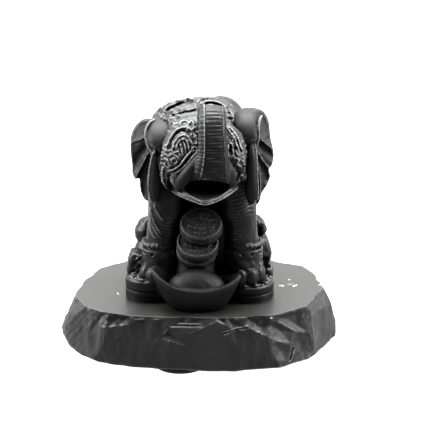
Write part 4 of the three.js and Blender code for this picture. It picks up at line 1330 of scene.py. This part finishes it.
def raw_shungite():
    """Raw stone: ground flat and grey on top, broken and nearly black at the sides, with mineral streaks."""
    material, tree, shader, coords = new_material("raw_shungite", 0.5, 0.26)
    geometry = new_node(tree, "NewGeometry", {})
    normal = new_node(tree, "SeparateXYZ", {"Vector": geometry.outputs["Normal"]})
    ground = ramp(tree, normal.outputs["Z"], [(0.93, 0.0), (0.985, 1.0)])
    grain = value_noise(tree, coords, 2400, 4)
    cloud = value_noise(tree, coords, 90, 6)
    broken = ramp(tree, cloud, [(0.3, (0.008, 0.008, 0.0085)), (0.7, (0.016, 0.0155, 0.0155))])
    # Edges of the breaks lightened to grey: rubbing and a painted highlight along the arrises.
    arris = ramp(tree, wear_and_glint_of(tree), [(0.0, 0.0), (1.0, 1.0)])
    broken = mixed(tree, "MIX", arris, broken, (0.1, 0.1, 0.1))
    flat = ramp(tree, cloud, [(0.25, (0.0098, 0.0098, 0.0094)), (0.75, (0.017, 0.017, 0.0164))])
    colour = mixed(tree, "MIX", ground, broken, flat)
    colour = mixed(tree, "MULTIPLY", 1.0, colour, ramp(tree, grain, [(0.35, 0.8), (0.65, 1.2)]))
    for flecks, tint in ((WHITE_STREAKS, (0.55, 0.55, 0.53)), (GOLD_FLECKS, (0.42, 0.36, 0.22))):
        for centre, length, width, degrees in flecks:
            colour = mixed(tree, "MIX", fleck(tree, coords, centre, length, width, degrees), colour, tint)
    tree.links.new(colour, shader.inputs["Base Color"])
    rough = ramp(tree, cloud, [(0.3, 0.36), (0.7, 0.46)])
    tree.links.new(mixed(tree, "MIX", ground, 0.58, rough), shader.inputs["Roughness"])
    grained(tree, shader, grain, 0.35, 0.08)
    return material


WHITE_STREAKS = [
    ((30.2, 0.4, 22.5), 1.9, 0.42, -24), ((35.4, 0.8, 22.5), 2.0, 0.38, 20),
    ((33.2, 1.9, 22.5), 2.6, 0.2, 10), ((33.3, 6.7, 22.5), 0.6, 0.5, 0), ((34.6, -0.3, 22.5), 0.8, 0.5, 0),
]
GOLD_FLECKS = [
    ((-29.2, -7.7, 22.5), 2.6, 0.26, -65), ((-42.6, -19.2, 15.6), 0.7, 0.5, 60),
    ((-43.7, -17.8, 13), 0.9, 0.5, 60), ((-13.6, -32.0, 21.9), 0.4, 0.4, 60),
    ((22.6, -29.6, 22.0), 0.9, 0.3, 10), ((25.4, -28.8, 21.6), 1.1, 0.3, 20),
    ((44.6, 1.4, 22.5), 2.2, 0.25, 10), ((4.1, -33.4, 14.8), 0.35, 0.6, 0),
    ((-15, -32.6, 13.2), 0.3, 0.6, 0), ((-27.3, -30.4, 15.7), 0.25, 0.5, 0),
]


def build_pads():
    """Round rubber pads: a rounded edge, a shallow dish below and a thin moulding ring at mid-height."""
    black, tree, shader, coords = new_material("pad_rubber", 0.62, 0.4)
    grain = value_noise(tree, coords, 2600, 3)
    tree.links.new(ramp(tree, grain, [(0.3, 0.009), (0.7, 0.016)]), shader.inputs["Base Color"])
    grained(tree, shader, grain, 0.3, 0.05)
    profile = [
        (0, 0.25), (6.4, 0.25), (7.0, 0.0), (8.6, 0.0), (9.15, 0.18), (9.4, 0.6), (9.42, 1.15), (9.5, 1.25),
        (9.42, 1.35), (9.4, 2.1), (9.3, FOOT), (0, FOOT),
    ]
    count = 72
    rings = len(profile) - 2
    top = 1 + (rings - 1) * count
    for node in ("pad_front", "pad_back_left", "pad_back_right"):
        low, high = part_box(node)
        cx, cy = (low[0] + high[0]) / 2, (low[1] + high[1]) / 2
        points, faces = [(cx, cy, profile[0][1] * MM)], []
        for radius, height in profile[1:-1]:
            for k in range(count):
                t = TAU * k / count
                points.append((cx + radius * MM * math.cos(t), cy + radius * MM * math.sin(t), height * MM))
        points.append((cx, cy, profile[-1][1] * MM))
        for k in range(count):
            n = (k + 1) % count
            faces.append((0, 1 + n, 1 + k))
            for row in range(rings - 1):
                a, b = 1 + row * count, 1 + (row + 1) * count
                faces.append((a + k, a + n, b + n, b + k))
            faces.append((top + k, top + n, len(points) - 1))
        data = bpy.data.meshes.new(node + "_rubber")
        data.from_pydata(points, [], faces)
        finish_piece(data, node + "_rubber", black, (node,))
        data.set_sharp_from_angle(angle=math.radians(50))


build_slab()
build_pads()


# The floor, the light and the camera.

def stage():
    """A pale floor, three soft boxes, a sky that is dark towards the viewer, and the camera."""
    bpy.ops.mesh.primitive_plane_add(size=6)
    floor = bpy.context.object
    floor.name = "floor"
    material, _, shader, _ = new_material("pale_floor", 0.9, 0.1)
    shader.inputs["Base Color"].default_value = (0.1, 0.1, 0.1, 1)
    shader.inputs["Emission Color"].default_value = (1, 1, 1, 1)
    shader.inputs["Emission Strength"].default_value = 0.9
    floor.data.materials.append(material)

    world = bpy.data.worlds.new("studio")
    world.use_nodes = True
    tree = world.node_tree
    way = new_node(tree, "SeparateXYZ", {"Vector": new_node(tree, "TexCoord", {}).outputs["Generated"]})
    place = new_node(tree, "MapRange", {"Value": way.outputs["Y"], "From Min": -1})
    glow = [(0.0, 0.02), (0.2, 0.04), (0.36, 0.25), (0.47, 0.9), (0.6, 1.0), (0.75, 0.9), (1.0, 0.8)]
    around = ramp(tree, place.outputs["Result"], glow)
    above = ramp(tree, way.outputs["Z"], [(0.45, 0.0), (0.9, 1.0)])
    sky = mixed(tree, "MIX", above, around, 0.25)
    tree.links.new(sky, tree.nodes["Background"].inputs["Color"])
    tree.nodes["Background"].inputs["Strength"].default_value = 2.4
    bpy.context.scene.world = world

    def softbox(name, place, aim, size, radiance):
        light = bpy.data.lights.new(name, "AREA")
        light.shape = "RECTANGLE"
        light.size, light.size_y = size
        light.energy = radiance * math.pi * size[0] * size[1]
        obj = placed(name, light)
        obj.location = place
        way = mathutils.Vector(aim) - mathutils.Vector(place)
        obj.rotation_euler = way.to_track_quat("-Z", "Y").to_euler()

    softbox("top_box", (0, 0.15, 0.6), (0, 0, 0.05), (0.58, 0.5), 25)
    softbox("left_box", (-0.52, -0.06, 0.36), (0, 0, 0.06), (0.36, 0.36), 28)
    softbox("right_box", (0.52, -0.08, 0.34), (0, 0, 0.06), (0.36, 0.36), 26)

    camera = bpy.data.cameras.new("camera")
    camera.sensor_width = SENSOR_MM
    camera.lens = SENSOR_MM * FOCAL_PIXELS / PICTURE_PIXELS
    camera.clip_start = 0.01
    obj = placed("camera", camera)
    eye, aim = mathutils.Vector(EYE) * MM, mathutils.Vector(AIM) * MM
    obj.location = eye
    obj.rotation_euler = (aim - eye).to_track_quat("-Z", "Y").to_euler()
    bpy.context.scene.camera = obj
    view = bpy.context.scene.view_settings
    view.view_transform = "Standard"
    view.look = "High Contrast"


stage()
